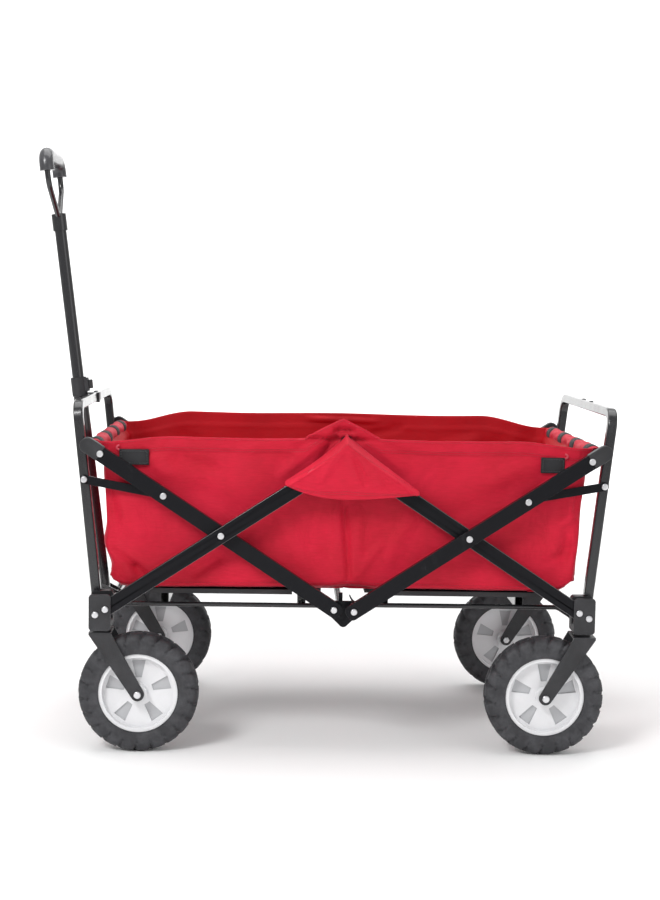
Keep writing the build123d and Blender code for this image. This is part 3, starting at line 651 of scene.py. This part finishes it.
def end_flange(sign):
    """Points of one end's floor cloth, rising to meet the wall's foot and its lifted corners."""
    grid = np.zeros((FLANGE_ROWS, FLANGE_COLUMNS, 3))
    for i in range(FLANGE_ROWS):
        y = FLANGE_HALF * (-1 + 2 * i / (FLANGE_ROWS - 1))
        for j in range(FLANGE_COLUMNS):
            reach = FLANGE_IN + (FLANGE_OUT - FLANGE_IN) * j / (FLANGE_COLUMNS - 1)
            rise = float(smooth_step((reach - 0.337) / 0.032))
            corner = float(smooth_step((abs(y) / FLANGE_HALF - 0.80) / 0.20))
            z = TUB_FOOT_Z + 0.0024 + rise * (0.0102 + 0.004 * corner)
            z += rise * 0.0007 * sin(70 * y + 40 * reach)
            grid[i, j] = (MID_X + sign * reach, y * sign, z)
    return grid


flanges = []
for end, sign in ENDS:
    flange = cloth_shell(f"end_floor_{end}", end_flange(sign), CLOTH_THICK)
    flanges.append(flange)

for piece in (bag, seams, *flanges):
    ride_tub(piece)


# ---- webbing tabs on the long walls
def tape_slab(name, corners, thick, material, waves):
    """A flat tape between four corners, given its thickness towards its third edge's normal."""
    a, b, c, d = (Vector(p) for p in corners)
    normal = (b - a).cross(d - a).normalized()
    columns, lines = 13, 7
    grid = np.zeros((lines, columns, 3))
    for i in range(lines):
        for j in range(columns):
            u, v = j / (columns - 1), i / (lines - 1)
            p = (a.lerp(b, u)).lerp(d.lerp(c, u), v)
            lift = waves * sin(pi * u) * (0.4 + 0.6 * sin(pi * v))
            grid[i, j] = p + normal * lift
    shell = cloth_shell(name, grid, -thick)
    shell.data.materials.clear()
    shell.data.materials.append(material)
    shell.data.polygons.foreach_set("material_index", np.zeros(len(shell.data.polygons), np.int32))
    return soften(shell, 40)


TAB_TOP, TAB_FOOT = 0.506, 0.480
TABS = (("left", -0.375, -0.326, 0.0), ("right", 0.325, 0.365, -0.004))
for side, sign in SIDES:
    for label, x0, x1, drop in TABS:
        y = sign * (TUB_HALF_Y + 0.0030)
        top, foot = TAB_TOP + drop, TAB_FOOT + drop
        left, right = MID_X + x0, MID_X + x1
        corners = [(left, y, foot), (right, y, foot), (right, y, top), (left, y, top)]
        if sign > 0:
            corners = [corners[1], corners[0], corners[3], corners[2]]
        tab = tape_slab(f"tab_{label}_{side}", corners, -0.0016, WEBBING, 0.0006)
        inset = 0.003
        box = [(left + inset, foot + inset), (right - inset, foot + inset),
               (right - inset, top - inset), (left + inset, top - inset), (left + inset, foot + inset)]
        line = np.array([(px, sign * (TUB_HALF_Y + 0.0049), pz) for px, pz in box])
        sewn = stitches(f"tab_stitches_{label}_{side}", [line], [np.tile((0, sign, 0), (5, 1))], GREY_THREAD)
        outer = x0 if x0 < 0 else x1
        loop_path = [(MID_X + outer + np.sign(outer) * 0.004 * sin(a),
                      sign * (TUB_HALF_Y + 0.0030 + 0.0014 * sin(a)),
                      top - 0.001 + 0.007 * (1 - cos(a)) / 2) for a in np.linspace(0, pi, 9)]
        loop = sweep_tube(f"tab_loop_{label}_{side}", loop_path, 0.0016, RED_THREAD, 8)
        for piece in (tab, sewn, loop):
            ride_tub(piece)


# ---- rolled end hems and their webbing loops
SLEEVE_COLUMNS = 168
SLEEVE_SIDES = 28
BAND_WIDTH = 0.034
BAND_SPOTS = (-0.180, -0.060, 0.060, 0.180)


def band_fade(y):
    """1 on a webbing loop, 0 between loops."""
    reach = np.min([abs(y - spot) for spot in BAND_SPOTS])
    return float(smooth_step((BAND_WIDTH / 2 + 0.006 - reach) / 0.006))


def sleeve_section(y, radius, bumpy):
    """One ring of the rolled hem at a place along the bar."""
    ring = []
    for k in range(SLEEVE_SIDES):
        a = 2 * pi * k / SLEEVE_SIDES
        ripple = 0.0007 * sin(3 * a + 60 * y) + 0.0005 * sin(5 * a - 95 * y + 1) + 0.0005 * sin(130 * y)
        ripple *= bumpy
        ring.append((radius + ripple) * np.array((cos(a), sin(a))))
    return ring


for end, _ in ENDS:
    low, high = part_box(f"rim_sleeve_{end}")
    cx, cz = (low.x + high.x) / 2, (low.z + high.z) / 2
    full, half = (high.z - low.z) / 2, high.y
    grid = []
    for y in np.linspace(-half, half, SLEEVE_COLUMNS):
        band = band_fade(y)
        puff = 0.4 + 0.6 * abs(cos(pi * y / 0.125))
        ends_in = 1 - 0.10 * float(smooth_step((abs(y) - half + 0.008) / 0.008))
        radius = (full * (0.90 + 0.10 * (1 - puff)) * (1 - band) + full * 0.84 * band) * ends_in
        ring = sleeve_section(y, radius, 1 - band)
        grid.append([(cx + dx, y, cz + dz) for dx, dz in ring])
    grid = np.array(grid)
    faces = grid_faces(SLEEVE_COLUMNS, SLEEVE_SIDES, True)
    last = SLEEVE_SIDES * (SLEEVE_COLUMNS - 1)
    caps = [tuple(range(SLEEVE_SIDES)), tuple(reversed(range(last, last + SLEEVE_SIDES)))]
    skin = [tuple(reversed(f)) for f in faces + caps]
    roll = make_object(f"rim_roll_{end}", grid.reshape(-1, 3), skin, CLOTH)
    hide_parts(f"rim_sleeve_{end}")
    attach(roll, f"{end}_upper_arms")
    points, faces = [], []
    for spot in BAND_SPOTS:
        ys = np.linspace(spot - BAND_WIDTH / 2, spot + BAND_WIDTH / 2, 9)
        base = len(points)
        for index, y in enumerate(ys):
            edge = min(index, len(ys) - 1 - index)
            radius = full * 0.84 + (0.0004 if edge == 0 else 0.0021)
            for k in range(SLEEVE_SIDES):
                a = 2 * pi * k / SLEEVE_SIDES
                points.append((cx + radius * cos(a), y, cz + radius * sin(a)))
        faces += [tuple(reversed(f)) for f in grid_faces(len(ys), SLEEVE_SIDES, True, base)]
    loops = make_object(f"rim_loops_{end}", points, faces, WEBBING)
    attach(loops, f"{end}_upper_arms")


# ---- flaps over the top hubs
FLAP_LOW, FLAP_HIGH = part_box("hub_flaps")
FLAP_OUT = FLAP_HIGH.y - 0.0006
FLAP_HALF = (FLAP_HIGH.x - FLAP_LOW.x) / 2
FLAP_TIP_Z = 0.452
FLAP_TILT = 0.007
FLAP_SHIFT = 0.010
FLAP_ROWS, FLAP_COLUMNS = 46, 90
FLAP_FOLDS = (
    ((0.004, 0.520), (0.060, 0.450), 0.006, 0.0022),
    ((0.010, 0.515), (0.034, 0.446), 0.005, -0.0018),
    ((-0.006, 0.516), (-0.050, 0.452), 0.007, 0.0016),
    ((0.030, 0.492), (0.088, 0.458), 0.005, 0.0014),
)


def flap_grid(sign):
    """A triangular flap: pointed at the top, draped over both arms, with a curved lower hem."""
    apex, lowest = FLAP_HIGH.z + 0.012, FLAP_LOW.z - 0.002
    grid = np.zeros((FLAP_ROWS, FLAP_COLUMNS, 3))
    for j in range(FLAP_COLUMNS):
        u = -1 + 2 * j / (FLAP_COLUMNS - 1)
        reach = abs(u)
        x = FLAP_SHIFT * reach + u * (FLAP_HALF + 0.003)
        tip_z = FLAP_TIP_Z - FLAP_TILT * u
        upper = apex - (apex - tip_z) * reach**0.86
        lower = lowest + (tip_z - 0.0045 - lowest) * reach**1.9
        for i in range(FLAP_ROWS):
            v = i / (FLAP_ROWS - 1)
            z = lower + v * (upper - lower)
            down = upper - z
            over = float(smooth_step(down / (0.011 + 0.006 * (1 - reach)) + 0.12))
            tucked = FLAP_OUT - TUB_HALF_Y - 0.0035 if reach < 0.2 else 0.016 + 0.020 * (1 - reach)
            y = FLAP_OUT - (1 - over) * tucked
            folds = 0.0016 * sin(26 * x + 14 * z) * float(smooth_step((1 - reach) / 0.4))
            for fold in FLAP_FOLDS:
                folds += float(crease(x, z, *fold))
            hem = float(smooth_step((0.011 - (z - lower)) / 0.0015)) * 0.0008
            band = float(smooth_step((0.013 - down) / 0.0015)) * 0.0010
            y += max(min(folds, 0.0030), -0.0010) * over + hem + band
            grid[i, j] = (MID_X + x, sign * y, z)
    return grid


for side, sign in SIDES:
    grid = flap_grid(sign)
    if sign > 0:
        grid = grid[:, ::-1]
    flap = cloth_shell(f"hub_flap_{side}", grid, 0.0013)
    if side == "near":
        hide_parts("hub_flaps")
    normals = grid_normals(grid, False)
    runs = ((4, slice(2, -2)), (6, slice(2, -2)), (FLAP_ROWS - 7, slice(3, -3)))
    lines = [grid[row, part] for row, part in runs]
    directions = [normals[row, part] for row, part in runs]
    sewn = stitches(f"flap_stitches_{side}", lines, directions, DARK_THREAD)
    for piece in (flap, sewn):
        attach(piece, "top_hub")


# ---- padded floor of the tub
def pad_mesh(name, low, high, pull, cells):
    """A closed cushion block whose sides are drawn in between its corners."""
    nx, ny = cells
    points, faces = [], []
    size, middle = (high - low), (high + low) / 2
    for level in (0, 1):
        for i in range(ny + 1):
            for j in range(nx + 1):
                u, v = -1 + 2 * j / nx, -1 + 2 * i / ny
                x = u * size.x / 2
                y = v * (size.y / 2 - pull * (1 - u * u) * abs(v) ** 6)
                points.append((middle.x + x, middle.y + y, high.z if level else low.z))
    count = (nx + 1) * (ny + 1)
    faces += [tuple(reversed(f)) for f in grid_faces(ny + 1, nx + 1, False)]
    faces += grid_faces(ny + 1, nx + 1, False, count)
    border = list(range(nx + 1)) + [(nx + 1) * i + nx for i in range(1, ny + 1)]
    border += [(nx + 1) * ny + j for j in range(nx - 1, -1, -1)]
    border += [(nx + 1) * i for i in range(ny - 1, 0, -1)]
    for a, b in zip(border, border[1:] + border[:1]):
        faces.append((a, b, b + count, a + count))
    return make_object(name, points, faces, CLOTH)


def puff(obj, voxel, frames, cap):
    """Swell a closed cushion as pressurised cloth, with each point's move kept under a cap."""
    remesh = obj.modifiers.new("voxels", "REMESH")
    remesh.mode = "VOXEL"
    remesh.voxel_size = voxel
    apply_modifiers(obj)
    rest = np.array([v.co for v in obj.data.vertices])
    cloth = obj.modifiers.new("cloth", "CLOTH")
    cloth.settings.use_pressure = True
    cloth.settings.uniform_pressure_force = 4.0
    cloth.settings.effector_weights.gravity = 0.0
    cloth.settings.quality = 4
    cloth.point_cache.frame_start = 1
    cloth.point_cache.frame_end = frames
    for number in range(1, frames + 1):
        bpy.context.scene.frame_set(number)
    apply_modifiers(obj)
    bpy.context.scene.frame_set(1)
    moved = np.array([v.co for v in obj.data.vertices])
    shift = moved - rest
    length = np.linalg.norm(shift, axis=1, keepdims=True)
    rest = rest + shift * np.minimum(1, cap / np.maximum(length, 1e-9))
    return rest


PAD_PUFF = 0.0032
PAD_VOXEL, PAD_FRAMES = 0.0055, 20
CHANNELS, CHANNEL_DEPTH = 3, 0.0035
JOIN_BAND = 0.0065
for end, sign in ENDS:
    low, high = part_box(f"floor_mat_{end}")
    low, high = Vector(low), Vector(high)
    # the cloth runs on from the board's edge to the middle of the wagon
    if sign > 0:
        low.x = MID_X
    else:
        high.x = MID_X
    mat = pad_mesh(f"floor_pad_{end}", low, high, 0.003, (26, 36))
    points = puff(mat, PAD_VOXEL, PAD_FRAMES, PAD_PUFF)
    # sewn channels across the pad, cut in after the remesh
    depth = np.zeros(len(points))
    for k in range(1, CHANNELS + 1):
        line = low.x + (high.x - low.x) * k / (CHANNELS + 1)
        depth += np.exp(-(((points[:, 0] - line) / 0.005) ** 2))
    top = points[:, 2] > (low.z + high.z) / 2
    points[:, 2] = np.where(top, points[:, 2] - CHANNEL_DEPTH * np.clip(depth, 0, 1), points[:, 2])
    points[:, 2] = np.maximum(points[:, 2], low.z - 0.0008)
    points[:, 1] = np.clip(points[:, 1], low.y - 0.0015, high.y + 0.0015)
    points[:, 0] = np.clip(points[:, 0], low.x - 0.001, high.x + 0.001)
    mat.data.vertices.foreach_set("co", points.reshape(-1).astype(np.float32))
    mat.data.polygons.foreach_set("use_smooth", np.full(len(mat.data.polygons), True))
    mat.data.update()
    smooth = mat.modifiers.new("even", "SMOOTH")
    smooth.iterations = 2
    apply_modifiers(mat)
    # the inner edge is sewn off straight, so the two halves meet
    for vertex in mat.data.vertices:
        if abs(vertex.co.x - MID_X) < JOIN_BAND:
            vertex.co.x = MID_X
    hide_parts(f"floor_mat_{end}")
    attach(mat, f"{end}_floor")


# ---- pull strap under the middle
# the section's corners in half widths and half thicknesses, crowned a little in the middle
STRAP_SECTION = ((-1, -1), (-0.9, -1.15), (0.9, -1.15), (1, -1), (1, 1), (0.9, 1.15), (-0.9, 1.15), (-1, 1))


def strap(name, path, width, thick, material):
    """A flat strap that follows a path of points, its width along Y."""
    path = np.asarray(path, float)
    tangent = np.gradient(path, axis=0)
    tangent /= np.linalg.norm(tangent, axis=1, keepdims=True)
    side = np.array([0.0, 1.0, 0.0])
    rings = []
    for p, t in zip(path, tangent):
        up = np.cross(side, t)
        ring = []
        for a, b in STRAP_SECTION:
            ring.append(p + side * a * width / 2 + up * b * thick / 2)
        rings.append(ring)
    faces = grid_faces(len(path), 8, True)
    faces += [tuple(reversed(range(8))), tuple(range((len(path) - 1) * 8, len(path) * 8))]
    return make_object(name, np.array(rings).reshape(-1, 3), faces, material)


def arc_between(points, count):
    """A smooth run through a few given points."""
    points = np.asarray(points, float)
    knots = np.linspace(0, 1, len(points))
    t = np.linspace(0, 1, count)
    out = np.stack([np.interp(t, knots, points[:, k]) for k in range(3)], axis=1)
    for _ in range(10):
        out[1:-1] = (out[:-2] + 2 * out[1:-1] + out[2:]) / 4
    return out


PULL_Y = -0.214
LOOP_POINTS = (
    (0.052, 0.2610), (0.042, 0.2535), (0.030, 0.2490), (0.020, 0.2500), (0.014, 0.2560), (0.011, 0.2625),
)
loop_path = arc_between([(MID_X + px, PULL_Y, pz) for px, pz in LOOP_POINTS], 30)
pull = strap("pull_strap", loop_path, 0.018, 0.0016, WEBBING)
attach(pull, "rear_floor")


# ---- end caps of the upper arms
def arm_cap(name, tip, angle, depth, width, length, material):
    """A moulded cap with a round nose, slipped over the end of an arm between two depths in Y."""
    low_y, high_y = depth
    half = width / 2
    outline = [(-length, -half), (-half * 0.55, -half)]
    for step in range(1, 12):
        a = -pi / 2 + pi * step / 12
        outline.append((-half * 0.55 + half * 0.95 * cos(a), half * sin(a)))
    outline += [(-half * 0.55, half), (-length, half)]
    points = []
    thickness = high_y - low_y
    depths = (0.0, 0.0012, thickness - 0.0012, thickness)
    insets = (0.0012, 0.0, 0.0, 0.0012)
    for level, inset in zip(depths, insets):
        for px, pz in outline:
            qx = px - inset if px > -half / 2 else px
            qz = pz * (1 - inset / half)
            x = tip[0] + qx * cos(angle) - qz * sin(angle)
            z = tip[1] + qx * sin(angle) + qz * cos(angle)
            points.append((x, low_y + level, z))
    count = len(outline)
    faces = grid_faces(4, count, True)
    faces += [tuple(reversed(range(count))), tuple(range(3 * count, 4 * count))]
    return soften(make_object(name, points, faces, material, smooth=False), 35)


CAP_WIDTH, CAP_LENGTH = 0.0264, 0.033
CAP_LIP = 0.0007
CAP_PAST_RIM = 0.0157
for end, _ in ENDS:
    for side, _ in SIDES:
        low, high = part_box(f"upper_arm_{end}_{side}")
        pivot = next(j for j in frame["joints"] if j["name"] == f"{end}_scissor")["pos_m"]
        rim_low, rim_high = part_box(f"rim_bar_{end}")
        rim = ((rim_low.x + rim_high.x) / 2, (rim_low.z + rim_high.z) / 2)
        angle = atan2(rim[1] - pivot[2], rim[0] - pivot[0])
        tip = (rim[0] + CAP_PAST_RIM * cos(angle), rim[1] + CAP_PAST_RIM * sin(angle))
        depth = (low.y - CAP_LIP, high.y + CAP_LIP)
        cap = arm_cap(f"arm_cap_{end}_{side}", tip, angle, depth, CAP_WIDTH, CAP_LENGTH, TEXTURED)
        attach(cap, f"{end}_upper_arms")


# ---- tyres with tread blocks
TREAD = 22
PROFILE = 26
SHOULDER = 0.014
GROOVE = 0.0080


def tyre_mesh(name, centre, width, radius, bore):
    """A moulded tyre: smooth sidewalls with a raised ring, and tread blocks cut round the shoulders."""
    around = TREAD * 12
    half = width / 2
    shoulder = SHOULDER
    grid = np.zeros((PROFILE, around, 3))
    # one side from the bore outwards: sidewall, rounded shoulder, then the tread; the other side mirrors it
    side_wall = []
    for k in range(PROFILE // 2):
        t = k / (PROFILE - 1)
        if t < 0.26:
            f = t / 0.26
            spot = (-half + 0.0006 + 0.0015 * (1 - f) ** 2, bore + f * (radius - shoulder - bore), 0)
        elif t < 0.40:
            a = pi / 2 * (t - 0.26) / 0.14
            spot = (-half + shoulder * (1 - cos(a)), radius - shoulder * (1 - sin(a)), 1)
        else:
            f = (t - 0.40) / 0.20
            spot = (-half + shoulder + f * (width - 2 * shoulder), radius, 2)
        side_wall.append(spot)
    profile = side_wall + [(-y, r, zone) for y, r, zone in reversed(side_wall)]
    for i, (y, r, zone) in enumerate(profile):
        for j in range(around):
            a = 2 * pi * j / around
            lane = TREAD * j / around
            stagger = 0.5 if y > 0 else 0.0
            phase = (lane + stagger + 0.9 * y / width) % 1.0
            edge = float(smooth_step((min(phase, 1 - phase) - 0.03) / 0.10))
            cut = (1 - edge) * GROOVE
            if zone == 1:
                drop = cut * (0.6 + 0.4 * float(smooth_step((r - radius + shoulder) / shoulder)))
            elif zone == 2:
                zig = 0.0035 * sin(2 * pi * lane)
                centre_groove = np.exp(-(((y - zig) / 0.0022) ** 2)) * 0.0036
                drop = max(cut * float(smooth_step((abs(y - zig) - 0.004) / 0.003)), centre_groove)
            else:
                near_shoulder = float(smooth_step((r - (radius - shoulder - 0.008)) / 0.006))
                drop = cut * 0.60 * near_shoulder
            ring = 0.0009 * np.exp(-(((r - bore - 0.0045) / 0.0016) ** 2)) if zone == 0 else 0
            ry = y + np.sign(y) * (ring - (drop * 0.6 if zone == 0 else 0.0))
            rr = r - (drop if zone else 0)
            grid[i, j] = (centre[0] + rr * cos(a), centre[1] + ry, centre[2] + rr * sin(a))
    turns = [2 * pi * j / around for j in range(around)]
    inner = []
    for y in (half - 0.002, half * 0.3, -half * 0.3, -half + 0.002):
        inner.append([(centre[0] + bore * cos(a), centre[1] + y, centre[2] + bore * sin(a)) for a in turns])
    whole = np.concatenate([grid, np.array(inner)])
    rows = len(whole)
    faces = grid_faces(rows, around, True)
    for j in range(around):
        k = (j + 1) % around
        faces.append(((rows - 1) * around + j, (rows - 1) * around + k, k, j))
    return make_object(name, whole.reshape(-1, 3), faces, RUBBER_BLACK)


for end, _ in ENDS:
    for side, _ in SIDES:
        low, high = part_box(f"tyre_{end}_{side}")
        hub_low, hub_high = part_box(f"wheel_hub_{end}_{side}")
        centre = (low + high) / 2
        bore = (hub_high.z - hub_low.z) / 2
        tyre = tyre_mesh(f"tyre_tread_{end}_{side}", centre, high.y - low.y, WHEEL_RADIUS, bore)
        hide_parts(f"tyre_{end}_{side}")
        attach(tyre, f"wheel_{end}_{side}")


# ---- screws on the frames' top bars
def screw_head(name, centre, radius, height, material):
    """A domed screw head with a cross recess."""
    rings, sides = 8, 32
    points = [(centre[0], centre[1], centre[2] + height * 0.72)]
    for i in range(1, rings + 1):
        r = radius * i / rings
        for k in range(sides):
            a = 2 * pi * k / sides
            across = min(abs(r * cos(a)), abs(r * sin(a)))
            slot_cut = 0.0009 if across < 0.0006 and r < radius * 0.6 else 0
            z = centre[2] + height * (1 - (i / rings) ** 2.6) - slot_cut
            points.append((centre[0] + r * cos(a), centre[1] + r * sin(a), z))
    for k in range(sides):
        a = 2 * pi * k / sides
        points.append((centre[0] + radius * cos(a), centre[1] + radius * sin(a), centre[2] - 0.0006))
    faces = [(0, 1 + k, 1 + (k + 1) % sides) for k in range(sides)]
    faces += [tuple(reversed(f)) for f in grid_faces(rings + 1, sides, True, 1)]
    faces.append(tuple(reversed(range(1 + rings * sides, 1 + (rings + 1) * sides))))
    return make_object(name, points, faces, material)


SCREW_Y, SCREW_RADIUS, SCREW_HEIGHT = 0.034, 0.0042, 0.0018
BAR_HALF = 0.0085
for end, sign in ENDS:
    low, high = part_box(f"post_frame_{end}")
    bar_x = high.x - BAR_HALF if sign > 0 else low.x + BAR_HALF
    for side, way in SIDES:
        spot = (bar_x, way * SCREW_Y, high.z)
        head = screw_head(f"bar_screw_{end}_{side}", spot, SCREW_RADIUS, SCREW_HEIGHT, TEXTURED)
        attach(head, f"{end}_frame")


# ---- finishes of the CAD nodes
FINISH = {
    "rivet_steel": ZINC,
    "tyre_rubber": RUBBER_BLACK,
    "hub_plastic": HUB,
    "red_fabric": CLOTH,
    "black_webbing": WEBBING,
    "board_plastic": BOARD,
    "black_plastic": TEXTURED,
    "grip_plastic": GRIP,
    "black_steel": GLOSS,
}
FLAT_BARS = ("upper_arm_front_", "upper_arm_rear_", "lower_arm_", "links_", "lower_hub", "top_hub_plates")
EDGE_ROUND = 0.0016
SOFT_EDGED = ("upper_arm_front_", "upper_arm_rear_", "lower_arm_", "links_", "knuckles_", "fork_")
for part in frame["record"]["subparts"]:
    node = NODES[part["node"]]
    finish = FINISH[part["material_slot"]]
    if part["node"].startswith("fork"):
        finish = TEXTURED
    if part["node"].startswith(FLAT_BARS) and part["material_slot"] == "black_steel":
        finish = ARM_GLOSS
    node.data.materials.clear()
    node.data.materials.append(finish)
    if part["node"].startswith(SOFT_EDGED):
        # the rounded edges of the tubes catch the light
        node.data.materials.append(ARM_EDGE)
        joined = node.modifiers.new("joined_edges", "WELD")
        joined.merge_threshold = 0.00001
        rounding = node.modifiers.new("soft_edge", "BEVEL")
        rounding.width = EDGE_ROUND
        rounding.segments = 2
        rounding.material = 1
        rounding.limit_method = "ANGLE"
        rounding.angle_limit = radians(50)


# ---- stage, light and camera
def add_area(name, place, aim, size, power):
    """A soft white light aimed at a point."""
    light = bpy.data.lights.new(name, "AREA")
    light.shape = "RECTANGLE"
    light.size, light.size_y = size
    light.energy = power
    obj = bpy.data.objects.new(name, light)
    obj.location = place
    obj.rotation_euler = (Vector(aim) - Vector(place)).to_track_quat("-Z", "Y").to_euler()
    bpy.context.scene.collection.objects.link(obj)


floor_material = Shader("studio_floor", roughness=0.9, specular=0.1)
floor_tone = floor_material.ramp(floor_material.noise(0.7, 2.0), 0.3, 0.7, (0.955,) * 3, (0.97,) * 3)
floor_material.colour(floor_tone)
sweep_rows = []
for step in range(25):
    t = step / 24
    if t < 0.4:
        sweep_rows.append((-8 + t / 0.4 * 12, 0.0))
    elif t < 0.7:
        a = pi / 2 * (t - 0.4) / 0.3
        sweep_rows.append((4 + 3 * sin(a), 3 * (1 - cos(a))))
    else:
        sweep_rows.append((7.0, 3 + (t - 0.7) / 0.3 * 6))
floor_points = [(x, y, z) for y, z in sweep_rows for x in (-14.0, 14.0)]
backdrop = make_object("studio_sweep", floor_points, grid_faces(25, 2, False), floor_material.material)

world = bpy.data.worlds.new("studio")
world.use_nodes = True
world.node_tree.nodes["Background"].inputs["Color"].default_value = (1, 1, 1, 1)
world.node_tree.nodes["Background"].inputs["Strength"].default_value = 0.55
bpy.context.scene.world = world
CENTRE = (MID_X, 0.0, 0.35)
add_area("key", (MID_X - 1.6, -2.4, 2.6), CENTRE, (1.0, 1.0), 62.0)
add_area("fill", (MID_X + 2.2, -2.2, 1.4), CENTRE, (1.8, 1.8), 10.0)
add_area("top", (MID_X, 0.3, 2.8), CENTRE, (2.6, 2.0), 44.0)
add_area("backdrop_wash", (MID_X, 2.2, 3.6), (MID_X, 7.0, 2.6), (5.0, 1.5), 330.0)

camera = bpy.data.cameras.new("view")
camera.sensor_fit = "VERTICAL"
camera.sensor_height = 36.0
camera.lens = 61.85
camera.clip_end = 60.0
eye = bpy.data.objects.new("view", camera)
bpy.context.scene.collection.objects.link(eye)
YAW, PITCH, ROLL = radians(1.851), radians(-5.274), radians(1.037)
forward = Vector((sin(YAW) * cos(PITCH), cos(YAW) * cos(PITCH), sin(PITCH)))
level = Vector((cos(YAW), -sin(YAW), 0.0))
above = level.cross(forward)
right = level * cos(ROLL) + above * sin(ROLL)
eye.location = (MID_X - 0.1095, -2.7803, 0.745)
up = right.cross(forward)
eye.matrix_world = Matrix.Translation(eye.location) @ Matrix((right, up, -forward)).transposed().to_4x4()
bpy.context.scene.camera = eye
bpy.context.scene.view_settings.view_transform = "Standard"
